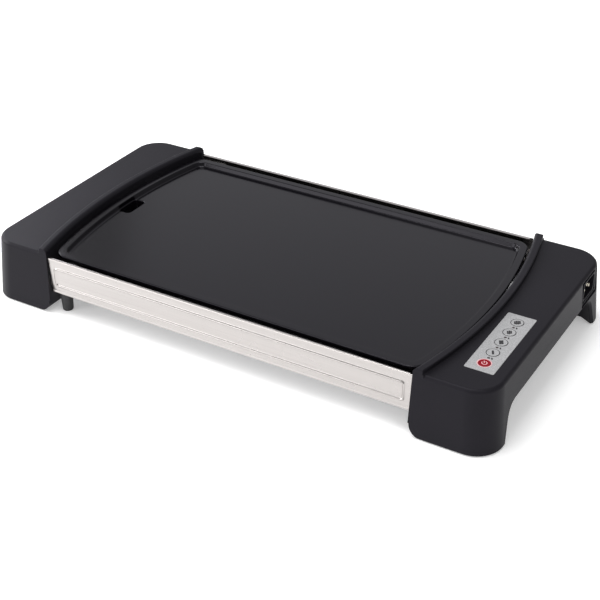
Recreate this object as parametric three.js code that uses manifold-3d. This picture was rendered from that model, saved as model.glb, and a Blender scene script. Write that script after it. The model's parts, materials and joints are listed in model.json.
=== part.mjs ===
// Electric plancha: a non-stick griddle plate between two moulded end housings, with steel panels
// along the front and rear, a keypad on the right housing and a drip tray under the left one.
// Lengths are in millimetres. +X points to the keypad end, -Y to the front and +Z up.
// The origin is on the table, under the middle of the appliance.

import * as THREE from 'three';
import { mergeVertices } from 'three/addons/utils/BufferGeometryUtils.js';
import Module from 'manifold-3d';

const wasm = await Module();
wasm.setup();

// Driving dimensions
const overallLength = 600;
const overallDepth = 305.8;
const housingTop = 70.4;
const housingWaist = 64.5;
const endArcRadius = 562;
const panelBottom = 24.9;

// Clearances shared by all pieces
const fitGap = 0.3;
const overrun = 5;

// Sizes of each piece

const housing = {
  wall: 3,
  rimRise: 5.2,
  faceLean: 5,
  endLean: 2.2,
  cornerRadius: 29,
  topFillet: 4.5,
  plateGap: 4,
  rimWidth: 9.5,
  rimInnerFillet: 2.8,
  rimOuterFillet: 1.2,
  rimEndFillet: 1.6,
  rimRoot: 2.5,
  groundGap: 1,
  heelRadius: 14,
  legWidth: 34.9,
  gripDepth: 31.8,
  archSoftness: 15,
  archFlare: 8,
  archFlareDepth: 15,
};
const archLeanShare = 0.3;

const cover = { thickness: 2.5, bossRadius: 4, screwInset: 61, screwSideInset: 14.9 };
const pad = { radius: 7, plugRadius: 2.4, plugHeight: 2.5, inset: 28, sideInset: 14.9 };
const screw = { shankRadius: 1.5, headRadius: 3.2, headHeight: 1.3, length: 20 };

const plate = {
  topDrop: 3.4,
  sideGap: 10.6,
  thickness: 5,
  rimDepth: 5,
  rimTopWidth: 5.2,
  rimFillet: 1.8,
  wallRun: 3.2,
  floorFillet: 3,
  lipHeight: 3.6,
  undercut: 5.5,
  cornerRadius: 12,
  bossRadius: 6,
};
const plateBossXShare = 0.62;
const plateBossYShare = 0.82;

const drain = { length: 32, width: 15, cornerRadius: 4.5, wallInset: 9.3, spoutWall: 2.4, spoutDrop: 13 };

const panel = {
  topDrop: 2,
  faceInset: 5.9,
  endGap: 0.7,
  sheet: 0.8,
  topFlange: 2.4,
  topFlangeNotch: 3,
  bottomFlange: 14,
  endFlange: 12,
  endFlangeInset: 2,
  beadWidth: 3,
  beadRise: 0.9,
  beadCorner: 3,
  beadEndInset: 8.4,
  beadTopInset: 12.3,
  beadBottomInset: 10.3,
};
const pan = { sheet: 0.8, endGap: 7.4, spoutGap: 6.8, faceGap: 3.2, plateGap: 9 };
const element = {
  radius: 3.6, legY: 35, sideInset: 48.4, bend: 30, endInset: 63.5, shoulderRun: 40, pinProtrusion: 8,
};
const clamp = { width: 14, sheet: 1.6, sideGap: 1.2 };
const sensor = { x: 40, headRadius: 7, headHeight: 3, bodyRadius: 4.5, bodyHeight: 10, stemRadius: 2.5 };
const fuse = { x: 96, radius: 2.6, length: 26 };

const key = {
  capRadius: 5.9,
  proud: 0.5,
  travel: 0.6,
  pitch: 19.7,
  flangeRadius: 7.2,
  flangeHeight: 1.2,
  stemRadius: 2.5,
  plungerRadius: 1.5,
  plungerLength: 2,
  capFillet: 0.6,
};
const keypad = { frontInset: 37.6, width: 29.7, length: 106, sheet: 0.7, proud: 0.2, corner: 1.5 };
const keypadWaistShare = 0.521;
const indicator = { lensRadius: 0.9, bodyRadius: 1.5, proud: 0.15 };
const tactSwitch = { side: 6, height: 3.4, wellDepth: 2.2 };
const controlBoard = { width: 39, length: 120, sheet: 1.6, postRadius: 2.5, postInset: 4 };
const powerBoard = { rearward: 20, width: 43, length: 58, sheet: 1.6, postRadius: 3, postInset: 5 };
const relay = { outward: 10, frontward: 14, width: 20, length: 16, height: 10, edge: 1.2 };

const inlet = {
  rearInset: 49.3,
  topInset: 16.8,
  windowWidth: 36,
  windowHeight: 23.4,
  socketWidth: 30,
  socketHeight: 19,
  socketDepth: 13,
  socketCorner: 3,
  recess: 0.9,
  lip: 1.5,
  lipSheet: 2.4,
  backWall: 3,
  pinWidth: 4,
  pinThickness: 2,
  pinPitch: 7,
  pinOffset: 2,
  pinSetback: 4,
  pinTail: 4,
};
const lead = {
  radius: 1.4,
  sensorRadius: 1.1,
  elementPitch: 16.7,
  climbRun: 23.5,
  ribbonWidth: 10,
  ribbonThickness: 0.8,
  ribbonOutward: 13.5,
};

const tray = {
  outerInset: 32,
  length: 68,
  sideRoom: 38,
  depth: 16,
  floorZ: 5.5,
  wall: 1.6,
  lip: 6,
  lipSheet: 1.6,
  gripWall: 3,
  gripRoom: 10.1,
  gripLip: 6,
  draft: 3,
  corner: 4,
};
const rail = { sheet: 2, web: 1.6, outerInset: 2, innerReach: 16, lipOverlap: 4, topFlange: 7 };
const stub = {
  endInset: 10.6, sideInset: 11.5, topRadius: 7.1, footRadius: 6, footFillet: 1.8, topFillet: 0.6,
};

// Where the main pieces meet

const halfLength = overallLength / 2;
const halfDepth = overallDepth / 2;
const plateEndX = halfLength - housingWaist - housing.plateGap;
const plateSideY = halfDepth - panel.faceInset - plate.sideGap;
const plateTop = housingTop - plate.topDrop;
const cookingLevel = plateTop - plate.rimDepth;
const plateUnderside = cookingLevel - plate.thickness;
const archHeight = housingTop - housing.gripDepth;

// The bowed ends of the plate and the housings' inner walls are arcs about this point of the X axis
const arcCentreX = plateEndX - endArcRadius;
const arcHalfAngle = Math.asin((halfDepth + overrun) / endArcRadius);
const arcSteps = 16;

const panelFaceY = halfDepth - panel.faceInset;
const panelBackY = panelFaceY - panel.sheet;
const panelEndX = endArcX(endArcRadius + housing.plateGap, panelFaceY) - panel.endGap;
const panelTop = housingTop - panel.topDrop;

const panFloor = panelBottom + panel.sheet + fitGap;
const panTop = plateUnderside - pan.plateGap;
const panRightX = panelEndX - pan.endGap;
const spoutInnerX = plateEndX - drain.wallInset - drain.width - drain.spoutWall;
const panLeftX = Math.min(panRightX, spoutInnerX - pan.spoutGap);

const elementLevel = plateUnderside - fitGap - element.radius;
const elementRunY = plateSideY - element.sideInset;
const elementFarX = plateEndX - element.endInset;
const elementShoulderX = elementFarX - element.shoulderRun;

const keypadX = halfLength - keypadWaistShare * housingWaist;
const keypadY = keypad.frontInset + keypad.length / 2 - halfDepth;
const powerBoardX = keypadX;
const powerBoardY = keypadY + powerBoard.rearward;
const powerBoardRearY = powerBoardY + powerBoard.length / 2;
const inletY = halfDepth - inlet.rearInset;
const inletZ = housingTop - inlet.topInset;

const trayOuterX = halfLength - tray.outerInset;
const trayInnerX = trayOuterX - tray.length;
const trayHalfWidth = halfDepth - housing.legWidth - tray.sideRoom;
const trayLipTop = tray.floorZ + tray.depth;
const trayGripTop = archHeight - tray.gripRoom;
const railOuterX = trayOuterX - rail.outerInset;
const railInnerX = trayInnerX - rail.innerReach;

// Solid helpers

function signedVolume(geometry) {
  const position = geometry.getAttribute('position');
  const index = geometry.getIndex();
  const corners = [new THREE.Vector3(), new THREE.Vector3(), new THREE.Vector3()];
  let total = 0;
  for (let face = 0; face < index.count; face += 3) {
    corners.forEach((corner, k) => corner.fromBufferAttribute(position, index.getX(face + k)));
    total += corners[0].dot(corners[1].clone().cross(corners[2]));
  }
  return total;
}

function solid(geometry) {
  const bare = geometry.clone();
  bare.deleteAttribute('normal');
  bare.deleteAttribute('uv');
  const merged = mergeVertices(bare);
  const triVerts = Uint32Array.from(merged.getIndex().array);
  if (signedVolume(merged) < 0) {
    for (let face = 0; face < triVerts.length; face += 3) {
      [triVerts[face], triVerts[face + 1]] = [triVerts[face + 1], triVerts[face]];
    }
  }
  const vertProperties = Float32Array.from(merged.getAttribute('position').array);
  return new wasm.Manifold(new wasm.Mesh({ numProp: 3, vertProperties, triVerts }));
}

function geometryOf(body) {
  const result = body.getMesh();
  const geometry = new THREE.BufferGeometry();
  geometry.setAttribute('position', new THREE.BufferAttribute(Float32Array.from(result.vertProperties), 3));
  geometry.setIndex(new THREE.BufferAttribute(Uint32Array.from(result.triVerts), 1));
  geometry.computeVertexNormals();
  return geometry;
}

function union(...bodies) {
  return bodies.reduce((whole, body) => whole.add(body));
}

// A closed skin through rings of points that all have the same count, with flat ends.
// flatten turns a point of an end ring into the two coordinates that its end face lies in.
function loft(rings, flatten) {
  const count = rings[0].length;
  const points = rings.flat();
  const faces = [];
  for (let ring = 0; ring < rings.length - 1; ring += 1) {
    for (let k = 0; k < count; k += 1) {
      const a = ring * count + k;
      const b = ring * count + ((k + 1) % count);
      faces.push(a, b, b + count, a, b + count, a + count);
    }
  }
  const capOf = (ring) => THREE.ShapeUtils.triangulateShape(rings[ring].map(flatten), []);
  const last = rings.length - 1;
  const clockwise = THREE.ShapeUtils.isClockWise(rings[0].map(flatten));
  capOf(0).forEach(([a, b, c]) => faces.push(...(clockwise ? [a, b, c] : [a, c, b])));
  capOf(last).forEach(([a, b, c]) => {
    const shifted = [a, b, c].map((k) => k + last * count);
    faces.push(...(clockwise ? [shifted[0], shifted[2], shifted[1]] : shifted));
  });
  const geometry = new THREE.BufferGeometry();
  const values = points.flatMap((point) => point.toArray());
  geometry.setAttribute('position', new THREE.Float32BufferAttribute(values, 3));
  geometry.setIndex(faces);
  return solid(geometry);
}

const flatAlongZ = (p) => new THREE.Vector2(p.x, p.y);
const flatAlongX = (p) => new THREE.Vector2(p.y, p.z);

function block(minX, maxX, minY, maxY, minZ, maxZ) {
  const geometry = new THREE.BoxGeometry(maxX - minX, maxY - minY, maxZ - minZ);
  geometry.translate((minX + maxX) / 2, (minY + maxY) / 2, (minZ + maxZ) / 2);
  return solid(geometry);
}

function rodAlongZ(x, y, lowZ, highZ, radius, sides = 20) {
  const geometry = new THREE.CylinderGeometry(radius, radius, highZ - lowZ, sides);
  geometry.rotateX(Math.PI / 2);
  geometry.translate(x, y, (lowZ + highZ) / 2);
  return solid(geometry);
}

function rodAlongX(lowX, highX, y, z, radius, sides = 20) {
  const geometry = new THREE.CylinderGeometry(radius, radius, highX - lowX, sides);
  geometry.rotateZ(Math.PI / 2);
  geometry.translate((lowX + highX) / 2, y, z);
  return solid(geometry);
}

// Extrudes a shape drawn in X and Y straight up from lowZ to highZ
function prismAlongZ(shape, lowZ, highZ, curveSegments = 6) {
  const geometry = new THREE.ExtrudeGeometry(shape, {
    depth: highZ - lowZ, bevelEnabled: false, curveSegments,
  });
  geometry.translate(0, 0, lowZ);
  return solid(geometry);
}

// Extrudes a shape drawn in Y and Z from lowX to highX
function prismAlongX(shape, lowX, highX, curveSegments = 6) {
  const geometry = new THREE.ExtrudeGeometry(shape, {
    depth: highX - lowX, bevelEnabled: false, curveSegments,
  });
  const turn = new THREE.Matrix4();
  turn.makeBasis(new THREE.Vector3(0, 1, 0), new THREE.Vector3(0, 0, 1), new THREE.Vector3(1, 0, 0));
  geometry.applyMatrix4(turn);
  geometry.translate(lowX, 0, 0);
  return solid(geometry);
}

// Extrudes a shape drawn in X and Z from lowY to highY
function prismAlongY(shape, lowY, highY, curveSegments = 6) {
  const geometry = new THREE.ExtrudeGeometry(shape, {
    depth: highY - lowY, bevelEnabled: false, curveSegments,
  });
  geometry.rotateX(Math.PI / 2);
  geometry.translate(0, highY, 0);
  return solid(geometry);
}

// Turns a profile of (radius, height) pairs about the Z axis
function turned(profile, segments = 20) {
  const points = profile.map(([radius, height]) => new THREE.Vector2(radius, height));
  const geometry = new THREE.LatheGeometry(points, segments);
  geometry.rotateX(Math.PI / 2);
  return solid(geometry);
}

function tube(points, radius, sides, steps) {
  const section = new THREE.Shape();
  for (let side = 0; side < sides; side += 1) {
    const angle = (side / sides) * 2 * Math.PI;
    const x = radius * Math.cos(angle);
    const y = radius * Math.sin(angle);
    if (side === 0) section.moveTo(x, y);
    else section.lineTo(x, y);
  }
  const path = new THREE.CatmullRomCurve3(points.map((p) => new THREE.Vector3(...p)), false, 'centripetal');
  return solid(new THREE.ExtrudeGeometry(section, { steps, extrudePath: path }));
}

function roundedRectangle(width, height, radius, centreX = 0, centreY = 0) {
  const shape = new THREE.Shape();
  const right = centreX + width / 2;
  const top = centreY + height / 2;
  const left = centreX - width / 2;
  const bottom = centreY - height / 2;
  shape.moveTo(left + radius, bottom);
  shape.lineTo(right - radius, bottom);
  shape.absarc(right - radius, bottom + radius, radius, -Math.PI / 2, 0, false);
  shape.lineTo(right, top - radius);
  shape.absarc(right - radius, top - radius, radius, 0, Math.PI / 2, false);
  shape.lineTo(left + radius, top);
  shape.absarc(left + radius, top - radius, radius, Math.PI / 2, Math.PI, false);
  shape.lineTo(left, bottom + radius);
  shape.absarc(left + radius, bottom + radius, radius, Math.PI, 1.5 * Math.PI, false);
  shape.closePath();
  return shape;
}

function polygon(points) {
  return new THREE.Shape(points.map(([x, y]) => new THREE.Vector2(x, y)));
}

// The piece on the left end that mirrors one built for the right end
function mirrored(body) {
  const geometry = geometryOf(body);
  geometry.scale(-1, 1, 1);
  return solid(geometry);
}

// Everything farther than radius from the centre of the end arcs, on the right
function beyondEndArc(radius) {
  const points = [];
  for (let step = 0; step <= arcSteps; step += 1) {
    const angle = -arcHalfAngle + (2 * arcHalfAngle * step) / arcSteps;
    points.push([arcCentreX + radius * Math.cos(angle), radius * Math.sin(angle)]);
  }
  points.push([overallLength, overallDepth]);
  points.push([overallLength, -overallDepth]);
  return prismAlongZ(polygon(points), -overallLength, overallLength);
}

function endArcX(radius, y) {
  return arcCentreX + Math.sqrt(radius * radius - y * y);
}

// Housing forms, drawn for the right end

const housingInnerRadius = endArcRadius + housing.plateGap;
const rimTop = housingTop + housing.rimRise;
const housingCornerSteps = 6;

function housingRing(z, inset) {
  const rise = z / housingTop;
  const farX = halfLength - housing.endLean * rise - inset;
  const farY = halfDepth - housing.faceLean * rise - inset;
  const nearX = panelEndX - 2 * overrun;
  const radius = housing.cornerRadius - inset;
  const ring = [new THREE.Vector3(nearX, -farY, z)];
  for (const [sign, start] of [[-1, -Math.PI / 2], [1, 0]]) {
    for (let step = 0; step <= housingCornerSteps; step += 1) {
      const angle = start + (step / housingCornerSteps) * (Math.PI / 2);
      const x = farX - radius + radius * Math.cos(angle);
      const y = sign * (farY - radius) + radius * Math.sin(angle);
      ring.push(new THREE.Vector3(x, y, z));
    }
  }
  ring.push(new THREE.Vector3(nearX, farY, z));
  return ring;
}

function housingColumn(inset, lowZ, highZ, fillet = 0) {
  const rings = [housingRing(lowZ, inset), housingRing(highZ - fillet, inset)];
  const filletSteps = 3;
  if (fillet > 0) {
    for (let step = 1; step <= filletSteps; step += 1) {
      const angle = (step / filletSteps) * (Math.PI / 2);
      const rise = fillet * Math.sin(angle);
      rings.push(housingRing(highZ - fillet + rise, inset + fillet * (1 - Math.cos(angle))));
    }
  }
  return loft(rings, flatAlongZ);
}

// The hand-grip arch under a housing, grown outward by margin
function archOutline(margin, flare) {
  const height = archHeight + margin;
  const halfWidth = halfDepth - housing.legWidth + margin + flare;
  const cornerY = halfWidth - archLeanShare * height;
  const sideLength = Math.hypot(height, halfWidth - cornerY);
  const soft = housing.archSoftness / sideLength;
  const lowZ = -overrun;
  const lowY = halfWidth + archLeanShare * overrun;
  const bend = new THREE.QuadraticBezierCurve(
    new THREE.Vector2(cornerY + (halfWidth - cornerY) * soft, height * (1 - soft)),
    new THREE.Vector2(cornerY, height),
    new THREE.Vector2(cornerY - housing.archSoftness, height),
  );
  const half = [new THREE.Vector2(lowY, lowZ), ...bend.getPoints(6)];
  const other = half.map((p) => new THREE.Vector2(-p.x, p.y)).reverse();
  return [...half, ...other];
}

function archBody(margin) {
  const stations = [
    [halfLength + overrun, 0],
    [halfLength - housing.endLean, 0],
    [halfLength - housing.archFlareDepth, housing.archFlare],
    [panelEndX - 3 * overrun, housing.archFlare],
  ];
  const rings = stations.map(([x, flare]) => (
    archOutline(margin, flare).map((p) => new THREE.Vector3(x, p.x, p.y))
  ));
  return loft(rings, flatAlongX);
}

// What the rounded inner heel of each leg leaves out, thinned by inset for the inside of the shell
function heelCut(inset) {
  const cornerX = endArcX(housingInnerRadius, halfDepth - housing.faceLean);
  const centreX = cornerX + housing.heelRadius;
  const centreZ = housing.groundGap + housing.heelRadius;
  const radius = housing.heelRadius - inset;
  const shape = new THREE.Shape();
  shape.moveTo(cornerX - 2 * overrun, housing.groundGap - overrun);
  shape.lineTo(centreX, housing.groundGap - overrun);
  shape.lineTo(centreX, centreZ - radius);
  shape.absarc(centreX, centreZ, radius, -Math.PI / 2, -Math.PI, true);
  shape.lineTo(cornerX - 2 * overrun, centreZ);
  shape.closePath();
  return prismAlongY(shape, -overallDepth, overallDepth, 7);
}

// The raised rim along the housing's inner edge, swept round the end arc
function rimBand() {
  const inner = housingInnerRadius;
  const outer = inner + housing.rimWidth;
  const section = [[outer, housingTop - housing.rimRoot]];
  const filletSteps = 3;
  for (let step = 0; step <= filletSteps; step += 1) {
    const angle = (step / filletSteps) * (Math.PI / 2);
    section.push([
      outer - housing.rimOuterFillet * (1 - Math.cos(angle)),
      rimTop - housing.rimOuterFillet * (1 - Math.sin(angle)),
    ]);
  }
  for (let step = 0; step <= filletSteps; step += 1) {
    const angle = (step / filletSteps) * (Math.PI / 2);
    section.push([
      inner + housing.rimInnerFillet * (1 - Math.sin(angle)),
      rimTop - housing.rimInnerFillet * (1 - Math.cos(angle)),
    ]);
  }
  section.push([inner, housingTop - housing.rimRoot]);
  const rings = [];
  for (let step = 0; step <= arcSteps; step += 1) {
    const angle = -arcHalfAngle + (2 * arcHalfAngle * step) / arcSteps;
    rings.push(section.map(([radius, z]) => (
      new THREE.Vector3(arcCentreX + radius * Math.cos(angle), radius * Math.sin(angle), z)
    )));
  }
  const alongArc = (p) => new THREE.Vector2(Math.hypot(p.x - arcCentreX, p.y), p.z);
  return loft(rings, alongArc);
}

const coverScrewX = halfLength - cover.screwInset;
const coverScrewY = halfDepth - cover.screwSideInset;
const padX = halfLength - pad.inset;
const padY = halfDepth - pad.sideInset;
const bothEnds = [-1, 1];

function screwBoss(sign) {
  const y = sign * coverScrewY;
  const lowZ = housing.groundGap + cover.thickness + fitGap;
  const post = rodAlongZ(coverScrewX, y, lowZ, housingTop - housing.wall / 2, cover.bossRadius, 12);
  const bore = rodAlongZ(coverScrewX, y, -overrun, screw.length + overrun, screw.shankRadius + fitGap, 12);
  return { post, bore };
}

// A flat pad inside the housing that the end flange of a panel is screwed to
function panelSeat(sign) {
  const faceX = panelEndX + fitGap;
  const nearY = panelBackY - panel.sheet;
  const farY = nearY - panel.endFlange;
  const lowZ = panelBottom + panel.endFlangeInset;
  const highZ = panelTop - panel.beadTopInset;
  const backX = endArcX(housingInnerRadius, farY) + housing.wall;
  const body = block(faceX, backX, Math.min(sign * nearY, sign * farY), Math.max(sign * nearY, sign * farY),
    lowZ, highZ);
  const y = sign * (nearY - panel.endFlange / 2);
  const z = (panelTop + panelBottom) / 2;
  const bore = rodAlongX(faceX - overrun, backX - housing.wall / 2, y, z, screw.shankRadius + fitGap, 12);
  return { body, bore };
}

function housingShell() {
  const outside = housingColumn(0, housing.groundGap, housingTop, housing.topFillet)
    .intersect(beyondEndArc(housingInnerRadius));
  const rim = rimBand().intersect(housingColumn(0, housingTop - overrun, rimTop, housing.rimEndFillet));
  const inside = housingColumn(housing.wall, -overrun, housingTop - housing.wall)
    .intersect(beyondEndArc(housingInnerRadius + housing.wall))
    .subtract(heelCut(housing.wall));
  let shell = union(outside, rim).subtract(inside);
  for (const sign of bothEnds) {
    const boss = screwBoss(sign);
    const seat = panelSeat(sign);
    shell = union(shell, boss.post, seat.body).subtract(boss.bore).subtract(seat.bore);
  }
  return shell.subtract(archBody(0)).subtract(heelCut(0));
}

// The moulded cover that closes a housing from below: two leg floors joined by the arch
function baseCover() {
  const margin = housing.wall + fitGap;
  const room = housingColumn(margin, housing.groundGap, housingTop)
    .intersect(beyondEndArc(housingInnerRadius + margin))
    .subtract(heelCut(margin));
  const floorTop = housing.groundGap + cover.thickness;
  const floors = block(0, overallLength, -overallDepth, overallDepth, housing.groundGap, floorTop);
  let body = union(archBody(cover.thickness), floors).intersect(room).subtract(archBody(0));
  for (const sign of bothEnds) {
    const y = sign * coverScrewY;
    const recessTop = housing.groundGap + screw.headHeight + 2 * fitGap;
    const recess = rodAlongZ(coverScrewX, y, -overrun, recessTop, screw.headRadius + fitGap, 16);
    const hole = rodAlongZ(coverScrewX, y, -overrun, floorTop + overrun, screw.shankRadius + fitGap, 12);
    const plug = rodAlongZ(padX, sign * padY, -overrun, floorTop + overrun, pad.plugRadius + fitGap, 12);
    body = body.subtract(recess).subtract(hole).subtract(plug);
  }
  return body;
}

const coverCeiling = archHeight + cover.thickness;
const boardUnderside = housingTop - housing.wall - key.flangeHeight - key.travel - tactSwitch.height
  - controlBoard.sheet - key.stemRadius;
const controlBoardTop = boardUnderside + controlBoard.sheet;
const powerBoardUnderside = coverCeiling + powerBoard.postRadius;

function cornerPlaces(width, length, inset, centreX, centreY) {
  const places = [];
  for (const signX of bothEnds) {
    for (const signY of bothEnds) {
      places.push([centreX + signX * (width / 2 - inset), centreY + signY * (length / 2 - inset)]);
    }
  }
  return places;
}

const keySides = 18;
const keyPlaces = [-2, -1, 0, 1, 2].map((k) => [keypadX, keypadY + k * key.pitch]);
const indicatorPlaces = [-1.5, -0.5, 0.5, 1.5].map((k) => [keypadX, keypadY + k * key.pitch]);

function leftHousing() {
  return mirrored(housingShell());
}

function rightHousing() {
  let shell = housingShell();
  const places = cornerPlaces(controlBoard.width, controlBoard.length, controlBoard.postInset,
    keypadX, keypadY);
  for (const [x, y] of places) {
    const post = rodAlongZ(x, y, controlBoardTop + fitGap, housingTop - housing.wall / 2,
      controlBoard.postRadius, 10);
    shell = shell.add(post);
  }
  const recess = prismAlongZ(
    roundedRectangle(keypad.width + 2 * fitGap, keypad.length + 2 * fitGap, keypad.corner + fitGap,
      keypadX, keypadY),
    housingTop + keypad.proud - keypad.sheet - fitGap, housingTop + overrun, 3);
  shell = shell.subtract(recess);
  for (const [x, y] of keyPlaces) {
    const hole = rodAlongZ(x, y, housingTop - 2 * housing.wall, housingTop + overrun,
      key.capRadius + 2 * fitGap, keySides);
    shell = shell.subtract(hole);
  }
  for (const [x, y] of indicatorPlaces) {
    const hole = rodAlongZ(x, y, housingTop - 2 * housing.wall, housingTop + overrun,
      indicator.bodyRadius + fitGap, 10);
    shell = shell.subtract(hole);
  }
  const windowCut = block(halfLength - 3 * housing.wall, halfLength + overrun,
    inletY - inlet.windowWidth / 2, inletY + inlet.windowWidth / 2,
    inletZ - inlet.windowHeight / 2, inletZ + inlet.windowHeight / 2);
  shell = shell.subtract(windowCut);
  for (const sign of bothEnds) {
    const wallX = endArcX(housingInnerRadius, element.legY);
    shell = shell.subtract(rodAlongX(wallX - overrun, wallX + overrun + housing.wall, sign * element.legY,
      elementLevel, element.radius + 2 * fitGap, 14));
  }
  const sensorWallX = endArcX(housingInnerRadius, 0);
  return shell.subtract(rodAlongX(sensorWallX - overrun, sensorWallX + overrun + housing.wall, 0,
    sensorLeadLevel, lead.sensorRadius + 2 * fitGap, 10));
}

const sensorLeadLevel = panTop + 2 * lead.sensorRadius;

function rightBaseCover() {
  let body = baseCover();
  const places = cornerPlaces(powerBoard.width, powerBoard.length, powerBoard.postInset,
    powerBoardX, powerBoardY);
  for (const [x, y] of places) {
    const post = rodAlongZ(x, y, coverCeiling - cover.thickness / 2, powerBoardUnderside - fitGap,
      powerBoard.postRadius, 10);
    body = body.add(post);
  }
  return body;
}

const railY = trayHalfWidth + tray.lip + fitGap;
const railTop = panFloor - fitGap;

function leftBaseCover() {
  let body = baseCover();
  const hangerHalf = rail.topFlange / 2;
  for (const sign of bothEnds) {
    const centreY = sign * (railY + rail.web / 2);
    body = body.add(block(endArcX(housingInnerRadius, 0) + 2 * housing.wall, railOuterX,
      centreY - hangerHalf, centreY + hangerHalf, railTop + fitGap, coverCeiling - cover.thickness / 2));
  }
  return mirrored(body);
}

// Cooking plate

const plateCornerSteps = 4;

// The plate's outline drawn in by inset: straight long sides, bowed ends and rounded corners
function plateRing(inset, z) {
  const sideY = plateSideY - inset;
  const radius = endArcRadius - inset;
  const corner = Math.max(plate.cornerRadius - inset, plate.rimFillet);
  const centreY = sideY - corner;
  const centreX = endArcX(radius - corner, centreY);
  const arcEdge = Math.atan2(centreY, centreX - arcCentreX);
  const quarter = [];
  for (let step = 0; step < plateEndSteps; step += 1) {
    const angle = (arcEdge * step) / plateEndSteps;
    quarter.push([arcCentreX + radius * Math.cos(angle), radius * Math.sin(angle)]);
  }
  for (let step = 0; step <= plateCornerSteps; step += 1) {
    const angle = arcEdge + ((Math.PI / 2 - arcEdge) * step) / plateCornerSteps;
    quarter.push([centreX + corner * Math.cos(angle), centreY + corner * Math.sin(angle)]);
  }
  const rearHalf = [...quarter, ...quarter.map(([x, y]) => [-x, y]).reverse()];
  const frontHalf = rearHalf.slice(1, -1).map(([x, y]) => [x, -y]).reverse();
  return [...rearHalf, ...frontHalf].map(([x, y]) => new THREE.Vector3(x, y, z));
}

const plateEndSteps = 6;

function drainOutline(margin) {
  const right = -endArcX(endArcRadius - drain.wallInset - drain.width, 0) + margin;
  const left = right - drain.width - 2 * margin;
  return roundedRectangle(right - left, drain.length + 2 * margin, drain.cornerRadius + margin,
    (left + right) / 2, 0);
}

function cookingPlate() {
  const lipBottom = plateTop - plate.lipHeight;
  const rings = [plateRing(plate.undercut + plate.rimFillet, plateUnderside)];
  rings.push(plateRing(plate.undercut, plateUnderside + plate.rimFillet));
  rings.push(plateRing(plate.undercut, lipBottom - plate.rimFillet / 2));
  rings.push(plateRing(plate.rimFillet / 2, lipBottom));
  const roundSteps = 3;
  for (let step = 0; step <= roundSteps; step += 1) {
    const angle = (step / roundSteps) * (Math.PI / 2);
    const inset = plate.rimFillet * (1 - Math.cos(angle));
    rings.push(plateRing(inset, plateTop - plate.rimFillet * (1 - Math.sin(angle))));
  }
  const innerEdge = plate.rimFillet + plate.rimTopWidth;
  rings.push(plateRing(innerEdge - plate.rimFillet / 2, plateTop));
  rings.push(plateRing(innerEdge + plate.rimFillet / 2, plateTop - plate.rimFillet / 2));
  const wallFoot = innerEdge + plate.wallRun;
  rings.push(plateRing(wallFoot, cookingLevel + plate.rimFillet / 2));
  rings.push(plateRing(wallFoot + plate.floorFillet / 2, cookingLevel + plate.rimFillet / 6));
  rings.push(plateRing(wallFoot + plate.floorFillet, cookingLevel));
  let body = loft(rings, flatAlongZ);
  const bossX = plateBossXShare * plateEndX;
  const bossY = plateBossYShare * plateSideY;
  for (const signX of bothEnds) {
    for (const signY of bothEnds) {
      body = body.add(rodAlongZ(signX * bossX, signY * bossY, panFloor + pan.sheet + fitGap,
        plateUnderside + plate.thickness / 2, plate.bossRadius, 12));
    }
  }
  body = body.add(prismAlongZ(drainOutline(drain.spoutWall), plateUnderside - drain.spoutDrop,
    plateUnderside + plate.thickness / 2, 3));
  return body.subtract(prismAlongZ(drainOutline(0), plateUnderside - drain.spoutDrop - overrun,
    plateTop + overrun, 3));
}

// Steel panels and pan

function sidePanel() {
  const faceY = -panelFaceY;
  const backY = -panelBackY;
  const face = block(-panelEndX, panelEndX, faceY, backY, panelBottom, panelTop);
  const topHalf = panelEndX - panel.topFlangeNotch;
  const topFlange = block(-topHalf, topHalf, faceY, faceY + panel.topFlange,
    panelTop - panel.sheet, panelTop);
  const bottomFlange = block(-panelEndX, panelEndX, faceY, faceY + panel.bottomFlange, panelBottom,
    panelBottom + panel.sheet);
  let body = union(face, topFlange, bottomFlange);
  for (const sign of bothEnds) {
    const outer = sign * panelEndX;
    const inner = sign * (panelEndX - panel.sheet);
    const flange = block(Math.min(outer, inner), Math.max(outer, inner), faceY,
      backY + panel.endFlange + panel.sheet, panelBottom + panel.endFlangeInset,
      panelTop - panel.beadTopInset);
    const hole = rodAlongX(sign * panelEndX - overrun, sign * panelEndX + overrun,
      backY + panel.sheet + panel.endFlange / 2, (panelTop + panelBottom) / 2,
      screw.shankRadius + fitGap, 12);
    body = body.add(flange).subtract(hole);
  }
  return body.add(panelBead(faceY));
}

function panelBead(faceY) {
  const bevel = panel.beadWidth / 3;
  const length = 2 * (panelEndX - panel.beadEndInset);
  const height = panelTop - panelBottom - panel.beadTopInset - panel.beadBottomInset;
  const centreZ = (panelTop - panel.beadTopInset + panelBottom + panel.beadBottomInset) / 2;
  const ring = roundedRectangle(length + bevel, height + bevel, panel.beadCorner, 0, centreZ);
  ring.holes.push(roundedRectangle(length - bevel, height - bevel, panel.beadCorner - bevel, 0, centreZ));
  const geometry = new THREE.ExtrudeGeometry(ring, {
    depth: panel.sheet / 2,
    bevelThickness: panel.beadRise,
    bevelSize: bevel,
    bevelSegments: 1,
    curveSegments: 3,
  });
  geometry.rotateX(Math.PI / 2);
  geometry.translate(0, faceY + panel.sheet / 2, 0);
  return solid(geometry);
}

function basePan() {
  const sideY = panelBackY - pan.faceGap;
  const outside = block(-panLeftX, panRightX, -sideY, sideY, panFloor, panTop);
  const inside = block(-panLeftX + pan.sheet, panRightX - pan.sheet, -sideY + pan.sheet, sideY - pan.sheet,
    panFloor + pan.sheet, panTop + overrun);
  return outside.subtract(inside);
}

// Heating

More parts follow.
